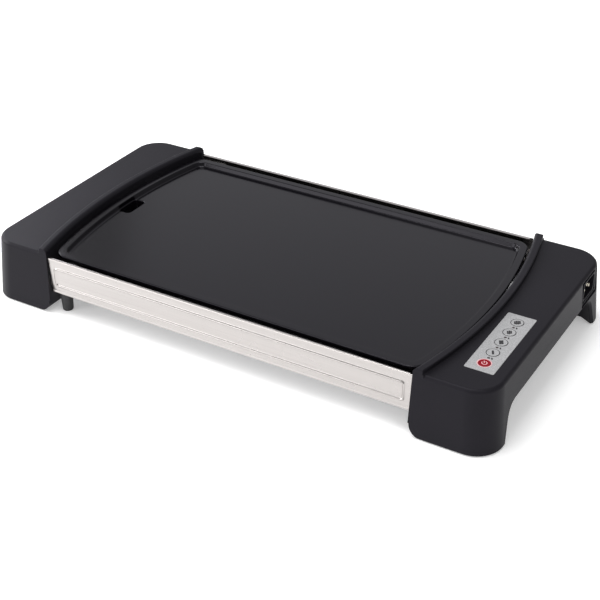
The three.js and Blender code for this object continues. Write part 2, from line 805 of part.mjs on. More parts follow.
function heatingElement() {
  const endX = endArcX(housingInnerRadius, element.legY) + housing.wall + element.pinProtrusion;
  const half = [
    [endX, element.legY],
    [endX - element.bend, element.legY],
    [elementFarX, element.legY],
    [elementFarX - element.bend / 3, element.legY + element.bend / 9],
    [elementShoulderX + element.bend / 3, elementRunY - element.bend / 9],
    [elementShoulderX, elementRunY],
    [0, elementRunY],
    [-elementShoulderX, elementRunY],
    [-elementFarX + element.bend / 2, elementRunY - element.bend / 5],
    [-elementFarX, elementRunY - element.bend],
    [-elementFarX, 0],
  ];
  const other = half.slice(0, -1).map(([x, y]) => [x, -y]).reverse();
  const points = [...half, ...other].map(([x, y]) => [x, y, elementLevel]);
  return tube(points, element.radius, 6, 84);
}

// A strap bent round the element from below, with its feet against the plate
function elementClamp() {
  const inner = element.radius + fitGap;
  const halfWidth = inner + clamp.sideGap + clamp.sheet;
  const lowest = -inner - clamp.sheet;
  const outer = roundedRectangle(2 * halfWidth, element.radius - lowest, clamp.sheet, 0,
    (element.radius + lowest) / 2);
  const section = prismAlongX(outer, -clamp.width / 2, clamp.width / 2, 2);
  const channel = block(-clamp.width, clamp.width, -halfWidth + clamp.sheet, halfWidth - clamp.sheet,
    -inner, 2 * inner);
  return section.subtract(channel);
}

function temperatureSensor() {
  const stand = panFloor + pan.sheet + fitGap;
  const top = plateUnderside - fitGap;
  const neck = top - sensor.headHeight;
  const base = neck - sensor.bodyHeight;
  return turned([
    [0, stand], [sensor.stemRadius, stand], [sensor.stemRadius, base], [sensor.bodyRadius, base],
    [sensor.bodyRadius, neck], [sensor.headRadius, neck], [sensor.headRadius, top], [0, top],
  ], 16);
}

function thermalFuse() {
  const half = fuse.length / 2;
  const tip = fuse.radius / 2;
  return turned([
    [0, -half], [tip, -half], [tip, -half / 2], [fuse.radius, -half / 2], [fuse.radius, half / 2],
    [tip, half / 2], [tip, half], [0, half],
  ], 12);
}

// Keypad

function keyCap() {
  const top = housingTop + keypad.proud + key.proud;
  const flangeTop = housingTop - housing.wall - fitGap;
  const flangeBottom = flangeTop - key.flangeHeight;
  const switchTop = controlBoardTop + fitGap + tactSwitch.height;
  const stemBottom = switchTop + key.travel + fitGap;
  return turned([
    [0, stemBottom - key.plungerLength],
    [key.plungerRadius, stemBottom - key.plungerLength],
    [key.plungerRadius, stemBottom],
    [key.stemRadius, stemBottom],
    [key.stemRadius, flangeBottom],
    [key.flangeRadius, flangeBottom],
    [key.flangeRadius, flangeTop],
    [key.capRadius, flangeTop],
    [key.capRadius, top - key.capFillet],
    [key.capRadius - key.capFillet, top],
    [0, top],
  ], keySides);
}

function keypadOverlay() {
  const top = housingTop + keypad.proud;
  let sheet = prismAlongZ(
    roundedRectangle(keypad.width, keypad.length, keypad.corner, keypadX, keypadY),
    top - keypad.sheet, top, 3);
  for (const [x, y] of keyPlaces) {
    sheet = sheet.subtract(rodAlongZ(x, y, top - overrun, top + overrun, key.capRadius + fitGap, keySides));
  }
  for (const [x, y] of indicatorPlaces) {
    const hole = rodAlongZ(x, y, top - overrun, top + overrun, indicator.lensRadius + fitGap, 10);
    sheet = sheet.subtract(hole);
  }
  return sheet;
}

function indicatorLens() {
  const bottom = controlBoardTop + fitGap;
  const top = housingTop + keypad.proud + indicator.proud;
  const shoulder = housingTop + keypad.proud - keypad.sheet - fitGap;
  return turned([
    [0, bottom], [indicator.bodyRadius, bottom], [indicator.bodyRadius, shoulder],
    [indicator.lensRadius, shoulder], [indicator.lensRadius, top], [0, top],
  ], 10);
}

function tactSwitchBody() {
  const half = tactSwitch.side / 2;
  const body = block(-half, half, -half, half, 0, tactSwitch.height);
  const wellFloor = tactSwitch.height - tactSwitch.wellDepth;
  const wellTop = tactSwitch.height + overrun;
  return body.subtract(rodAlongZ(0, 0, wellFloor, wellTop, key.plungerRadius + fitGap, 12));
}

function boardSheet(board) {
  return prismAlongZ(roundedRectangle(board.width, board.length, board.sheet), 0, board.sheet, 2);
}

function relayCase() {
  return prismAlongZ(roundedRectangle(relay.width, relay.length, relay.edge), 0, relay.height, 2);
}

// Inlet

const inletFaceX = halfLength - housing.endLean - inlet.recess;
const inletWallX = halfLength - housing.endLean - housing.wall;
const pinPlaces = [-1, 0, 1].map((k) => [k * inlet.pinPitch, k === 0 ? inlet.pinOffset : -inlet.pinOffset]);

// Socket body; its face stands in the housing's window and its lip lies behind the housing's wall
function inletSocket() {
  const face = 0;
  const lipFront = inletWallX - fitGap - inletFaceX;
  const lipBack = lipFront - inlet.lipSheet;
  const back = -inlet.socketDepth - inlet.backWall;
  const tall = inlet.windowHeight - 2 * fitGap;
  const windowFace = prismAlongX(
    roundedRectangle(inlet.windowWidth - 2 * fitGap, tall, inlet.socketCorner / 2), lipBack, face, 2);
  const lip = prismAlongX(
    roundedRectangle(inlet.windowWidth + 2 * inlet.lip, tall, inlet.socketCorner / 2), lipBack, lipFront, 2);
  const well = roundedRectangle(inlet.socketWidth, inlet.socketHeight, inlet.socketCorner);
  const bucket = prismAlongX(
    roundedRectangle(inlet.socketWidth + 2 * inlet.lip, tall, inlet.socketCorner), back, lipBack, 2);
  let body = union(windowFace, lip, bucket)
    .subtract(prismAlongX(well, -inlet.socketDepth, face + overrun, 3));
  for (const [y, z] of pinPlaces) {
    const halfWidth = inlet.pinThickness / 2 + fitGap;
    const halfHeight = inlet.pinWidth / 2 + fitGap;
    body = body.subtract(block(back - overrun, -inlet.socketDepth + overrun, y - halfWidth, y + halfWidth,
      z - halfHeight, z + halfHeight));
  }
  return body;
}

function inletPin() {
  const back = -inlet.socketDepth - inlet.backWall - inlet.pinTail;
  const tip = -inlet.pinSetback;
  const nose = inlet.pinThickness / 2;
  const side = polygon([
    [back, -inlet.pinThickness / 2], [tip - nose, -inlet.pinThickness / 2], [tip, -nose / 2],
    [tip, nose / 2], [tip - nose, inlet.pinThickness / 2], [back, inlet.pinThickness / 2],
  ]);
  return prismAlongZ(side, -inlet.pinWidth / 2, inlet.pinWidth / 2);
}

// Leads inside the right housing

const powerBoardTop = powerBoardUnderside + powerBoard.sheet;
const leadFoot = powerBoardTop + fitGap;

function elementLead(sign) {
  const startX = endArcX(housingInnerRadius, element.legY) + housing.wall + element.pinProtrusion + fitGap;
  const startY = sign * element.legY;
  const endX = powerBoardX - powerBoard.width / 2 + 6 * lead.radius;
  const endY = powerBoardRearY - powerBoard.postInset - ((1 - sign) / 2) * lead.elementPitch;
  const turn = 3 * lead.radius;
  return tube([
    [startX, startY, elementLevel],
    [startX + turn, startY, elementLevel],
    [endX, (startY + 2 * endY) / 3, elementLevel - turn / 2],
    [endX, endY, leadFoot + turn / 2],
    [endX, endY, leadFoot],
  ], lead.radius, 6, 14);
}

function inletLead(k) {
  const [pinY, pinZ] = pinPlaces[k];
  const startX = inletFaceX - inlet.socketDepth - inlet.backWall - inlet.pinTail - fitGap;
  const startY = inletY + pinY;
  const startZ = inletZ + pinZ;
  const endX = powerBoardX + (1 - k) * 3 * lead.radius;
  const endY = powerBoardRearY - powerBoard.postInset;
  const turn = 2 * lead.radius;
  return tube([
    [startX, startY, startZ],
    [startX - turn / 2, startY, startZ],
    [endX, startY - 3 * turn, (startZ + leadFoot) / 2],
    [endX, endY + 2 * turn, leadFoot + turn],
    [endX, endY, leadFoot + turn / 2],
    [endX, endY, leadFoot],
  ], lead.radius, 6, 18);
}

function sensorLead() {
  const start = sensor.x + sensor.stemRadius + fitGap;
  const low = (panFloor + panTop) / 2;
  const wallX = endArcX(housingInnerRadius, 0);
  const endX = powerBoardX - powerBoard.width / 2 + 2 * lead.sensorRadius;
  const endY = powerBoardRearY - 2 * lead.sensorRadius;
  return tube([
    [start, 0, low],
    [(start + panRightX) / 2, 0, low],
    [panRightX - lead.climbRun, 0, (low + sensorLeadLevel) / 2],
    [panRightX - pan.sheet, 0, sensorLeadLevel],
    [wallX - overrun, 0, sensorLeadLevel],
    [wallX + overrun, 0, sensorLeadLevel],
    [endX, endY / 2, sensorLeadLevel],
    [endX, endY, leadFoot + lead.radius],
    [endX, endY, leadFoot],
  ], lead.sensorRadius, 6, 26);
}

// Flat cable from the underside of the control board to the power board, drawn in Y and Z
function ribbonCable() {
  const startY = keypadY + controlBoard.length / 2 - controlBoard.postInset;
  const endY = powerBoardRearY - controlBoard.postInset;
  const high = boardUnderside - fitGap;
  const thick = lead.ribbonThickness;
  const flat = controlBoard.postInset / 2;
  const top = [
    [startY + flat, high],
    [startY - flat, high],
    [endY - thick, leadFoot + thick],
    [endY - flat, leadFoot + thick],
  ];
  const bottom = [
    [endY - flat, leadFoot],
    [endY + thick, leadFoot],
    [startY - flat + thick, high - thick],
    [startY + flat, high - thick],
  ];
  const centreX = keypadX + lead.ribbonOutward;
  const half = lead.ribbonWidth / 2;
  return prismAlongX(polygon([...top, ...bottom]), centreX - half, centreX + half);
}

// Drip tray, drawn for the left end with its grip toward -X

function dripTray() {
  const half = trayHalfWidth;
  const top = trayLipTop;
  const centreX = -(trayOuterX + trayInnerX) / 2;
  const ringAt = (shape, z) => shape.getPoints(3).map((p) => new THREE.Vector3(p.x, p.y, z));
  const outerAt = (z, inset) => ringAt(
    roundedRectangle(tray.length - 2 * inset, 2 * (half - inset), tray.corner, centreX, 0), z);
  const outside = loft([outerAt(tray.floorZ, tray.draft), outerAt(top, 0)], flatAlongZ);
  const inside = loft([
    outerAt(tray.floorZ + tray.wall, tray.draft + tray.wall),
    outerAt(top + overrun, tray.wall),
  ], flatAlongZ);
  const lip = block(-trayOuterX + tray.corner, -trayInnerX - tray.corner, -half - tray.lip, half + tray.lip,
    top - tray.lipSheet, top);
  const gripX = -trayOuterX - tray.gripWall;
  const grip = block(gripX, -trayOuterX + tray.wall, -half, half,
    tray.floorZ + tray.depth / 2, trayGripTop);
  const gripLip = block(gripX - tray.gripLip, gripX + tray.gripWall, -half / 2, half / 2,
    trayGripTop - tray.lipSheet, trayGripTop);
  return union(outside, lip, grip, gripLip).subtract(inside);
}

// One tray rail: a web with a ledge under the tray's lip and a flange against the pan
function trayRail() {
  const lipBottom = trayLipTop - tray.lipSheet;
  const ledgeTop = lipBottom - fitGap;
  const web = block(-railOuterX, -railInnerX, railY, railY + rail.web, ledgeTop - rail.sheet, railTop);
  const ledge = block(-railOuterX, -railInnerX, railY - rail.lipOverlap, railY + rail.web,
    ledgeTop - rail.sheet, ledgeTop);
  const flange = block(-railOuterX, -railInnerX, railY, railY + rail.topFlange,
    railTop - rail.sheet, railTop);
  return union(web, ledge, flange);
}

function stubFoot() {
  const top = panelBottom - fitGap;
  return turned([
    [0, 0],
    [stub.footRadius - stub.footFillet, 0],
    [stub.footRadius - stub.footFillet / 3, stub.footFillet / 3],
    [stub.footRadius, stub.footFillet], [stub.topRadius, top - stub.topFillet],
    [stub.topRadius - stub.topFillet, top], [0, top],
  ], 16);
}

function footPad() {
  const top = housing.groundGap - fitGap;
  return turned([
    [0, 0], [pad.radius - fitGap, 0], [pad.radius, fitGap], [pad.radius, top], [pad.plugRadius, top],
    [pad.plugRadius, top + pad.plugHeight], [0, top + pad.plugHeight],
  ], 14);
}

// A screw standing on its head, its shank pointing up from z = 0
function screwBody() {
  return turned([
    [0, -screw.headHeight], [screw.headRadius - fitGap, -screw.headHeight],
    [screw.headRadius, -screw.headHeight + fitGap], [screw.headRadius, 0], [screw.shankRadius, 0],
    [screw.shankRadius, screw.length - screw.shankRadius], [0, screw.length],
  ], 10);
}

function panelScrewBody() {
  const reach = endArcX(housingInnerRadius, panelBackY - panel.endFlange) - panelEndX;
  return turned([
    [0, -screw.headHeight], [screw.headRadius - fitGap, -screw.headHeight],
    [screw.headRadius, -screw.headHeight + fitGap], [screw.headRadius, 0], [screw.shankRadius, 0],
    [screw.shankRadius, reach], [0, reach + screw.shankRadius / 2],
  ], 10);
}

// Materials

const finishes = {
  housing: { color: 0x3c3b40, roughness: 0.55, metalness: 0 },
  plate: { color: 0x3a3b40, roughness: 0.38, metalness: 0.1 },
  steel: { color: 0xdedad6, roughness: 0.3, metalness: 1 },
  pan: { color: 0xb4b5b6, roughness: 0.42, metalness: 1 },
  element: { color: 0x6f6a62, roughness: 0.5, metalness: 0.9 },
  keypad: { color: 0xa9abae, roughness: 0.4, metalness: 0.5 },
  key: { color: 0xb4b6b9, roughness: 0.35, metalness: 0.3 },
  power: { color: 0xc8202a, roughness: 0.35, metalness: 0 },
  lens: { color: 0xd8dadc, roughness: 0.15, metalness: 0 },
  board: { color: 0x1f5c38, roughness: 0.5, metalness: 0 },
  component: { color: 0x1d1d1f, roughness: 0.5, metalness: 0 },
  brass: { color: 0xc9a552, roughness: 0.3, metalness: 1 },
  lead: { color: 0x8a3a2a, roughness: 0.5, metalness: 0 },
  rubber: { color: 0x161617, roughness: 0.85, metalness: 0 },
  screw: { color: 0x9a9b9d, roughness: 0.35, metalness: 1 },
};

function piece(name, body, finish, parent, place = [0, 0, 0], turn = [0, 0, 0]) {
  const mesh = new THREE.Mesh(geometryOf(body), new THREE.MeshStandardMaterial(finishes[finish]));
  mesh.name = name;
  mesh.position.set(...place);
  mesh.rotation.set(...turn);
  parent.add(mesh);
  return mesh;
}

// Assembly

const plancha = new THREE.Group();
const rightEnd = new THREE.Group();
const leftEnd = new THREE.Group();
const griddle = new THREE.Group();
plancha.add(griddle, leftEnd, rightEnd);

function buildGriddle() {
  piece('cooking_plate', cookingPlate(), 'plate', griddle);
  piece('heating_element', heatingElement(), 'element', griddle);
  const clampBody = elementClamp();
  piece('element_clamp_rear', clampBody, 'pan', griddle, [0, elementRunY, elementLevel]);
  piece('element_clamp_front', clampBody, 'pan', griddle, [0, -elementRunY, elementLevel]);
  piece('element_clamp_left', clampBody, 'pan', griddle,
    [-elementFarX, 0, elementLevel], [0, 0, Math.PI / 2]);
  piece('temperature_sensor', temperatureSensor(), 'brass', griddle, [sensor.x, 0, 0]);
  piece('thermal_fuse', thermalFuse(), 'component', griddle,
    [fuse.x, 0, plateUnderside - fitGap - fuse.radius], [Math.PI / 2, 0, 0]);
  piece('base_pan', basePan(), 'pan', griddle);
  const panelBody = sidePanel();
  piece('front_panel', panelBody, 'steel', griddle);
  piece('rear_panel', panelBody, 'steel', griddle, [0, 0, 0], [0, 0, Math.PI]);
}

function buildEnd(group, side, sign) {
  const shell = sign > 0 ? rightHousing() : leftHousing();
  const base = sign > 0 ? rightBaseCover() : leftBaseCover();
  piece(`${side}_housing`, shell, 'housing', group);
  piece(`${side}_base_cover`, base, 'housing', group);
  const screwZ = housing.groundGap + screw.headHeight + fitGap;
  const panelScrewX = panelEndX - panel.sheet - fitGap;
  const panelScrewY = panelBackY - panel.sheet - panel.endFlange / 2;
  for (const [place, front] of [['front', -1], ['rear', 1]]) {
    piece(`foot_pad_${side}_${place}`, footPad(), 'rubber', group, [sign * padX, front * padY, 0]);
    piece(`cover_screw_${side}_${place}`, screwBody(), 'screw', group,
      [sign * coverScrewX, front * coverScrewY, screwZ]);
    piece(`panel_screw_${side}_${place}`, panelScrewBody(), 'screw', group,
      [sign * panelScrewX, front * panelScrewY, (panelTop + panelBottom) / 2], [0, (sign * Math.PI) / 2, 0]);
  }
}

function buildControls() {
  piece('keypad_overlay', keypadOverlay(), 'keypad', rightEnd);
  piece('control_board', boardSheet(controlBoard), 'board', rightEnd, [keypadX, keypadY, boardUnderside]);
  const keyBody = keyCap();
  const switchBody = tactSwitchBody();
  keyPlaces.forEach(([x, y], k) => {
    const name = k === 0 ? 'power_button' : `level_button_${k}`;
    piece(name, keyBody, k === 0 ? 'power' : 'key', rightEnd, [x, y, 0]);
    piece(`tact_switch_${k + 1}`, switchBody, 'component', rightEnd, [x, y, controlBoardTop + fitGap]);
  });
  const lens = indicatorLens();
  indicatorPlaces.forEach(([x, y], k) => piece(`indicator_${k + 1}`, lens, 'lens', rightEnd, [x, y, 0]));
  piece('power_board', boardSheet(powerBoard), 'board', rightEnd,
    [powerBoardX, powerBoardY, powerBoardUnderside]);
  piece('relay', relayCase(), 'component', rightEnd,
    [powerBoardX + relay.outward, powerBoardY - relay.frontward, leadFoot]);
  piece('ribbon_cable', ribbonCable(), 'keypad', rightEnd);
  piece('element_lead_live', elementLead(1), 'lead', rightEnd);
  piece('element_lead_neutral', elementLead(-1), 'lead', rightEnd);
  piece('sensor_lead', sensorLead(), 'lead', rightEnd);
}

function buildInlet() {
  const place = [inletFaceX, inletY, inletZ];
  piece('inlet_socket', inletSocket(), 'component', rightEnd, place);
  const pinBody = inletPin();
  ['live', 'earth', 'neutral'].forEach((name, k) => {
    const [y, z] = pinPlaces[k];
    piece(`inlet_pin_${name}`, pinBody, 'brass', rightEnd, [inletFaceX, inletY + y, inletZ + z]);
    piece(`inlet_lead_${name}`, inletLead(k), 'lead', rightEnd);
  });
}

function buildTray() {
  piece('drip_tray', dripTray(), 'component', leftEnd);
  const railBody = trayRail();
  piece('tray_rail_rear', railBody, 'pan', leftEnd);
  const frontRail = geometryOf(railBody);
  frontRail.scale(1, -1, 1);
  piece('tray_rail_front', solid(frontRail), 'pan', leftEnd);
  const stubBody = stubFoot();
  const stubX = stub.endInset - panelEndX;
  const stubY = panelFaceY - stub.sideInset;
  piece('stub_foot_front', stubBody, 'rubber', leftEnd, [stubX, -stubY, 0]);
  piece('stub_foot_rear', stubBody, 'rubber', leftEnd, [stubX, stubY, 0]);
}

buildGriddle();
buildEnd(leftEnd, 'left', -1);
buildEnd(rightEnd, 'right', 1);
buildControls();
buildInlet();
buildTray();

export default plancha;
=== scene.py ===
"""Looks of an electric plancha: smooth shells, coated plate, bent steel, keypad, fixings and studio.

Run as a script. Lengths are in metres. +X points to the keypad end, -Y to the front and +Z up.
"""

import json
import math

import bpy
from bpy.props import FloatProperty, FloatVectorProperty, IntProperty, PointerProperty
from mathutils import Matrix, Vector


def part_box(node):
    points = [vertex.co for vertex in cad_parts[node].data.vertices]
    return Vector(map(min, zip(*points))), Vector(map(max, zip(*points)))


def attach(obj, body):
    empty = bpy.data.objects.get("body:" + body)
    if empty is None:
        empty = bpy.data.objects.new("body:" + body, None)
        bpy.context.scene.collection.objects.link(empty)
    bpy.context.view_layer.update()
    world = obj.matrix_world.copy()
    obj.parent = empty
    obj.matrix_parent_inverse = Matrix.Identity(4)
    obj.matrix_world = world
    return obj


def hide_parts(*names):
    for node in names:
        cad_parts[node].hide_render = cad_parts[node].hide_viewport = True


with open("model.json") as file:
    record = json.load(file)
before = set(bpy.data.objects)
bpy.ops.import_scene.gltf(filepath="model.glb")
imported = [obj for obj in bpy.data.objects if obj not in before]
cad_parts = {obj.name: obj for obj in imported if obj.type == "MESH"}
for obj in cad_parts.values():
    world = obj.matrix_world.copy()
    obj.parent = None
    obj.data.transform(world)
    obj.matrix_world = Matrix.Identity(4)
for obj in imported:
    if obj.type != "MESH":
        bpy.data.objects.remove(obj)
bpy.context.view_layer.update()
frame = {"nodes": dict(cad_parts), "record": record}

bl_info = {
    "name": "Electric plancha",
    "version": (1, 0, 0),
    "blender": (4, 5, 0),
    "location": "View3D > Sidebar > Plancha",
    "description": "Models and finishes every visible piece of an electric plancha",
    "category": "Add Mesh",
}

BOTH = (-1, 1)
SIDES = ("left", "right")
ENDS = ("front", "rear")
LEVELS = range(1, 5)
VENTS = range(-2, 3)  # counted from the middle one of each side
QUARTER = math.pi / 2
FULL_TURN = 4 * QUARTER
WHITE = (1, 1, 1)


# Shares of named sizes

SCREW_RECESS_SHARE = 0.65  # of the base cover's thickness
RIM_SOFT_SHARE = 0.7  # of the rim's fillet
FLOOR_SOFT_SHARE = 0.6  # of the floor's fillet
PLATE_BOSS_SHARES = (0.62, 0.82)  # of the plate's half length and half depth
BOSS_TIP_SHARE = 0.85  # of a plate foot's radius, as is the next
BOSS_EDGE_SHARE = 0.15
BEND_RUN_SHARE = 1.4  # of the panel's bend
NOTCH_SHARE = 1.05  # of the sheet's thickness, behind the panel's face
PAN_INNER_SHARE = 0.5  # of the pan's sheet, off its inner rounding
PAN_CORNER_SHARE = 0.5  # of the draw, off the pan's corners
RIB_LENGTH_SHARE = 0.62  # of the pan's length
RIB_PLACE_SHARES = (0.26, 0.62)  # of the pan's half depth
RIB_DRAW_SHARE = 0.4  # of the draw, off the rib's half width
PILLOW_RUN_SHARE = 1.6  # of the rib's rise
KEY_FLAT_SHARE = 0.72  # of the key's radius
LAMP_EDGE_SHARE = 0.5  # of the lamp's radius
BAR_END_SHARE = 0.4  # of a bar's narrower side
SIDE_BAR_SHARE = 0.8  # of the bars' length
LONE_BAR_SHARE = 1.4  # of the bars' width, on the first two keys
PAIR_PITCH_SHARE = 1.25  # of the bars' pitch, on the second key
JOINING_LINE_SHARE = 0.2  # of the bars' length, below their middle
STROKE_SHARE = 0.6  # of the power mark's radius
MARK_GAP_SHARE = 0.8  # of a quarter turn
PIN_NOSE_SHARE = 0.35  # of a pin's width along Y
TRAY_LIP_EDGE_SHARE = 0.4  # of the lips' sheet, as is the next
TRAY_TURN_EDGE_SHARE = 0.45
PAD_PLUG_SHARE = 0.343  # of the foot pad's radius
STUB_TIP_SHARE = 0.85  # of the stub's radius
SCREW_HEAD_SHARE = 0.406  # of the screw head's radius, as is the next
SCREW_SHANK_SHARE = 0.469


# Fineness of the meshes

PANEL_ROW_STEP = 0.008
PANEL_COLUMN_STEP = 0.03
BEAD_STEPS = 5
END_ARC_STEPS = 60
TURNED_STEPS = 48
ROD_STEPS = 40
CORNER_STEPS = 6
KEY_STEPS = 64
LAMP_STEPS = 32
SHARP_ANGLE = math.radians(32)
BEVEL_ANGLE = math.radians(35)
FACE_WEIGHT = 90


# Depths of the finishes' fine relief, and widths of the edges that they soften

MOULD_GRAIN = 0.00003
COATING_SPECKLE = 0.00002
BRUSHED_LINES = 0.00001
METAL_MOTTLE = 0.00002
HEATER_SCALE = 0.00003
FILM_GRAIN = 0.00001
PLASTIC_CLOUD = 0.00001
BOARD_TRACKS = 0.00002
LEAD_BRAID = 0.0001
RUBBER_DUST = 0.00004
HOUSING_SOFT_EDGE = 0.0005
EPOXY_SOFT_EDGE = 0.0002
SOFT_EDGE_SAMPLES = 4


# How near and how far the camera sees

CLIP_NEAR = 0.05
CLIP_FAR = 50


# Settings

def length(name, description, default):
    return FloatProperty(name=name, description=description, default=default, unit="LENGTH", precision=4)


def angle(name, description, degrees):
    return FloatProperty(name=name, description=description, default=math.radians(degrees), subtype="ANGLE")


def share(name, description, default):
    return FloatProperty(name=name, description=description, default=default, min=0, max=1, subtype="FACTOR")


def colour(name, description, default):
    return FloatVectorProperty(name=name, description=description, default=default, size=3, min=0, max=1,
                               subtype="COLOR")


def power(name, description, default):
    return FloatProperty(name=name, description=description, default=default, min=0, unit="POWER")


def place(name, description, default):
    return FloatVectorProperty(name=name, description=description, default=default, size=3, unit="LENGTH",
                               subtype="XYZ")


class HousingSizes(bpy.types.PropertyGroup):
    half_length: length("Half length", "From the middle to the outer end at the table", 0.3)
    half_depth: length("Half depth", "From the middle to the front face at the table", 0.1529)
    top: length("Top", "Height of the housing's flat top", 0.0704)
    end_radius: length("End radius", "Radius of the plate's bowed ends", 0.562)
    waist: length("Waist", "Narrowest width of the housing's flat top", 0.0645)
    plate_gap: length("Plate gap", "Gap between the plate's end and the housing", 0.004)
    wall: length("Wall", "Wall thickness of the moulding", 0.003)
    face_lean: length("Face lean", "How far the front face leans in over its height", 0.005)
    end_lean: length("End lean", "How far the outer end leans in over its height", 0.0052)
    corner: length("Corner", "Radius of the upright outer corners", 0.029)
    top_fillet: length("Top fillet", "Rounding of the top's outer edge", 0.0038)
    low_fillet: length("Low fillet", "Rounding of the lower outer edge", 0.0012)
    rim_rise: length("Rim rise", "Height of the rim over the top", 0.0052)
    rim_width: length("Rim width", "Width of the rim", 0.0095)
    rim_inner_fillet: length("Rim inner fillet", "Rounding of the rim toward the plate", 0.0044)
    rim_outer_fillet: length("Rim outer fillet", "Rounding of the rim toward the top", 0.0012)
    rim_end_fillet: length("Rim end fillet", "Rounding of the rim's ends", 0.0016)
    ground_gap: length("Ground gap", "Height of the moulding over the table", 0.001)
    heel: length("Heel", "Radius of each leg's inner heel", 0.014)
    leg: length("Leg", "Depth of each leg at the table", 0.0349)
    grip_depth: length("Grip depth", "Height of the bridge over the arch", 0.0332)
    arch_soft: length("Arch softness", "Length of the arch's rounded corner", 0.015)
    arch_lean: share("Arch lean", "Sideways run of the arch's legs for each unit of height", 0.3)
    arch_flare: length("Arch flare", "Extra width of the arch inside the wall", 0.008)
    arch_flare_depth: length("Flare depth", "How far inside the wall the arch is fully flared", 0.015)
    arch_edge: length("Arch edge", "Rounding of the arch's edge in the end wall", 0.0018)
    cover: length("Cover", "Thickness of the moulded base cover", 0.0025)
    fit: length("Fit", "Clearance between pieces", 0.0003)


class PlateSizes(bpy.types.PropertyGroup):
    thickness: length("Thickness", "Thickness under the cooking surface", 0.005)
    top_drop: length("Top drop", "Drop from the housing's top to the plate's rim", 0.0034)
    rim_depth: length("Rim depth", "Depth of the cooking surface below the rim", 0.005)
    rim_top: length("Rim top", "Width of the flat of the rim", 0.0070)
    rim_fillet: length("Rim fillet", "Rounding of the rim's outer edge", 0.0012)
    wall_run: length("Wall run", "Width of the slope inside the rim", 0.0018)
    floor_fillet: length("Floor fillet", "Rounding at the foot of the slope", 0.002)
    lip_height: length("Lip height", "Height of the outer lip", 0.0036)
    undercut: length("Undercut", "How far the plate's body stands back under the lip", 0.0055)
    corner: length("Corner", "Radius of the plate's corners", 0.015)
    inner_share: share("Inner corner share", "How fast the corners tighten toward the inside", 0.45)
    boss: length("Boss", "Radius of the feet under the plate", 0.006)
    drain_length: length("Drain length", "Length of the drain slot", 0.032)
    drain_width: length("Drain width", "Width of the drain slot", 0.015)
    drain_corner: length("Drain corner", "Radius of the drain slot's corners", 0.0045)
    drain_inset: length("Drain inset", "From the plate's end to the drain slot", 0.0093)
    drain_edge: length("Drain edge", "Rounding of the drain slot's upper edge", 0.0009)
    spout_wall: length("Spout wall", "Wall of the spout under the drain", 0.0024)
    spout_drop: length("Spout drop", "Length of the spout under the plate", 0.013)


class PanelSizes(bpy.types.PropertyGroup):
    sheet: length("Sheet", "Thickness of the steel", 0.0008)
    bend: length("Bend", "Outside radius of the bent edges", 0.0014)
    end_inset: length("Bead end inset", "From the panel's end to the bead", 0.0084)
    top_inset: length("Bead top inset", "From the panel's top to the bead", 0.0107)
    bottom_inset: length("Bead bottom inset", "From the panel's lower edge to the bead", 0.0103)
    bead_width: length("Bead width", "Half the width of the pressed bead", 0.0018)
    bead_rise: length("Bead rise", "How far the bead stands out", 0.0013)
    bead_corner: length("Bead corner", "Radius of the bead's corners", 0.003)
    hem_rise: length("Hem rise", "Height of the pressed line over the lower edge", 0.0035)
    low_lean: length("Lower lean", "How far the face leans in below the bead", 0.0005)
    top_lean: length("Upper lean", "How far the face leans in above the bead", 0.0005)
    notch: length("Notch", "Length cut off each end of the top flange", 0.003)
    front_drop: length("Front drop", "How much lower the front panel's top sits than its solid", 0.0020)
    top_flange: length("Top flange", "Depth of the front panel's folded top edge", 0.0022)
    rear_flange: length("Rear flange", "Depth of the rear panel's folded top edge", 0.0048)
    bottom_flange: length("Bottom flange", "Depth of the folded lower edge", 0.014)
    end_flange: length("End flange", "Depth of the folded ends", 0.0128)
    rib_width: length("Rib width", "Half the width of the base pan's ribs", 0.004)
    rib_rise: length("Rib rise", "Height of the base pan's ribs", 0.0016)
    pan_round: length("Pan rounding", "Radius of the base pan's bent edges", 0.002)
    vent_length: length("Vent length", "Length of the base pan's vents", 0.026)
    vent_width: length("Vent width", "Width of the base pan's vents", 0.003)
    vent_pitch: length("Vent pitch", "Distance between the base pan's vents", 0.009)


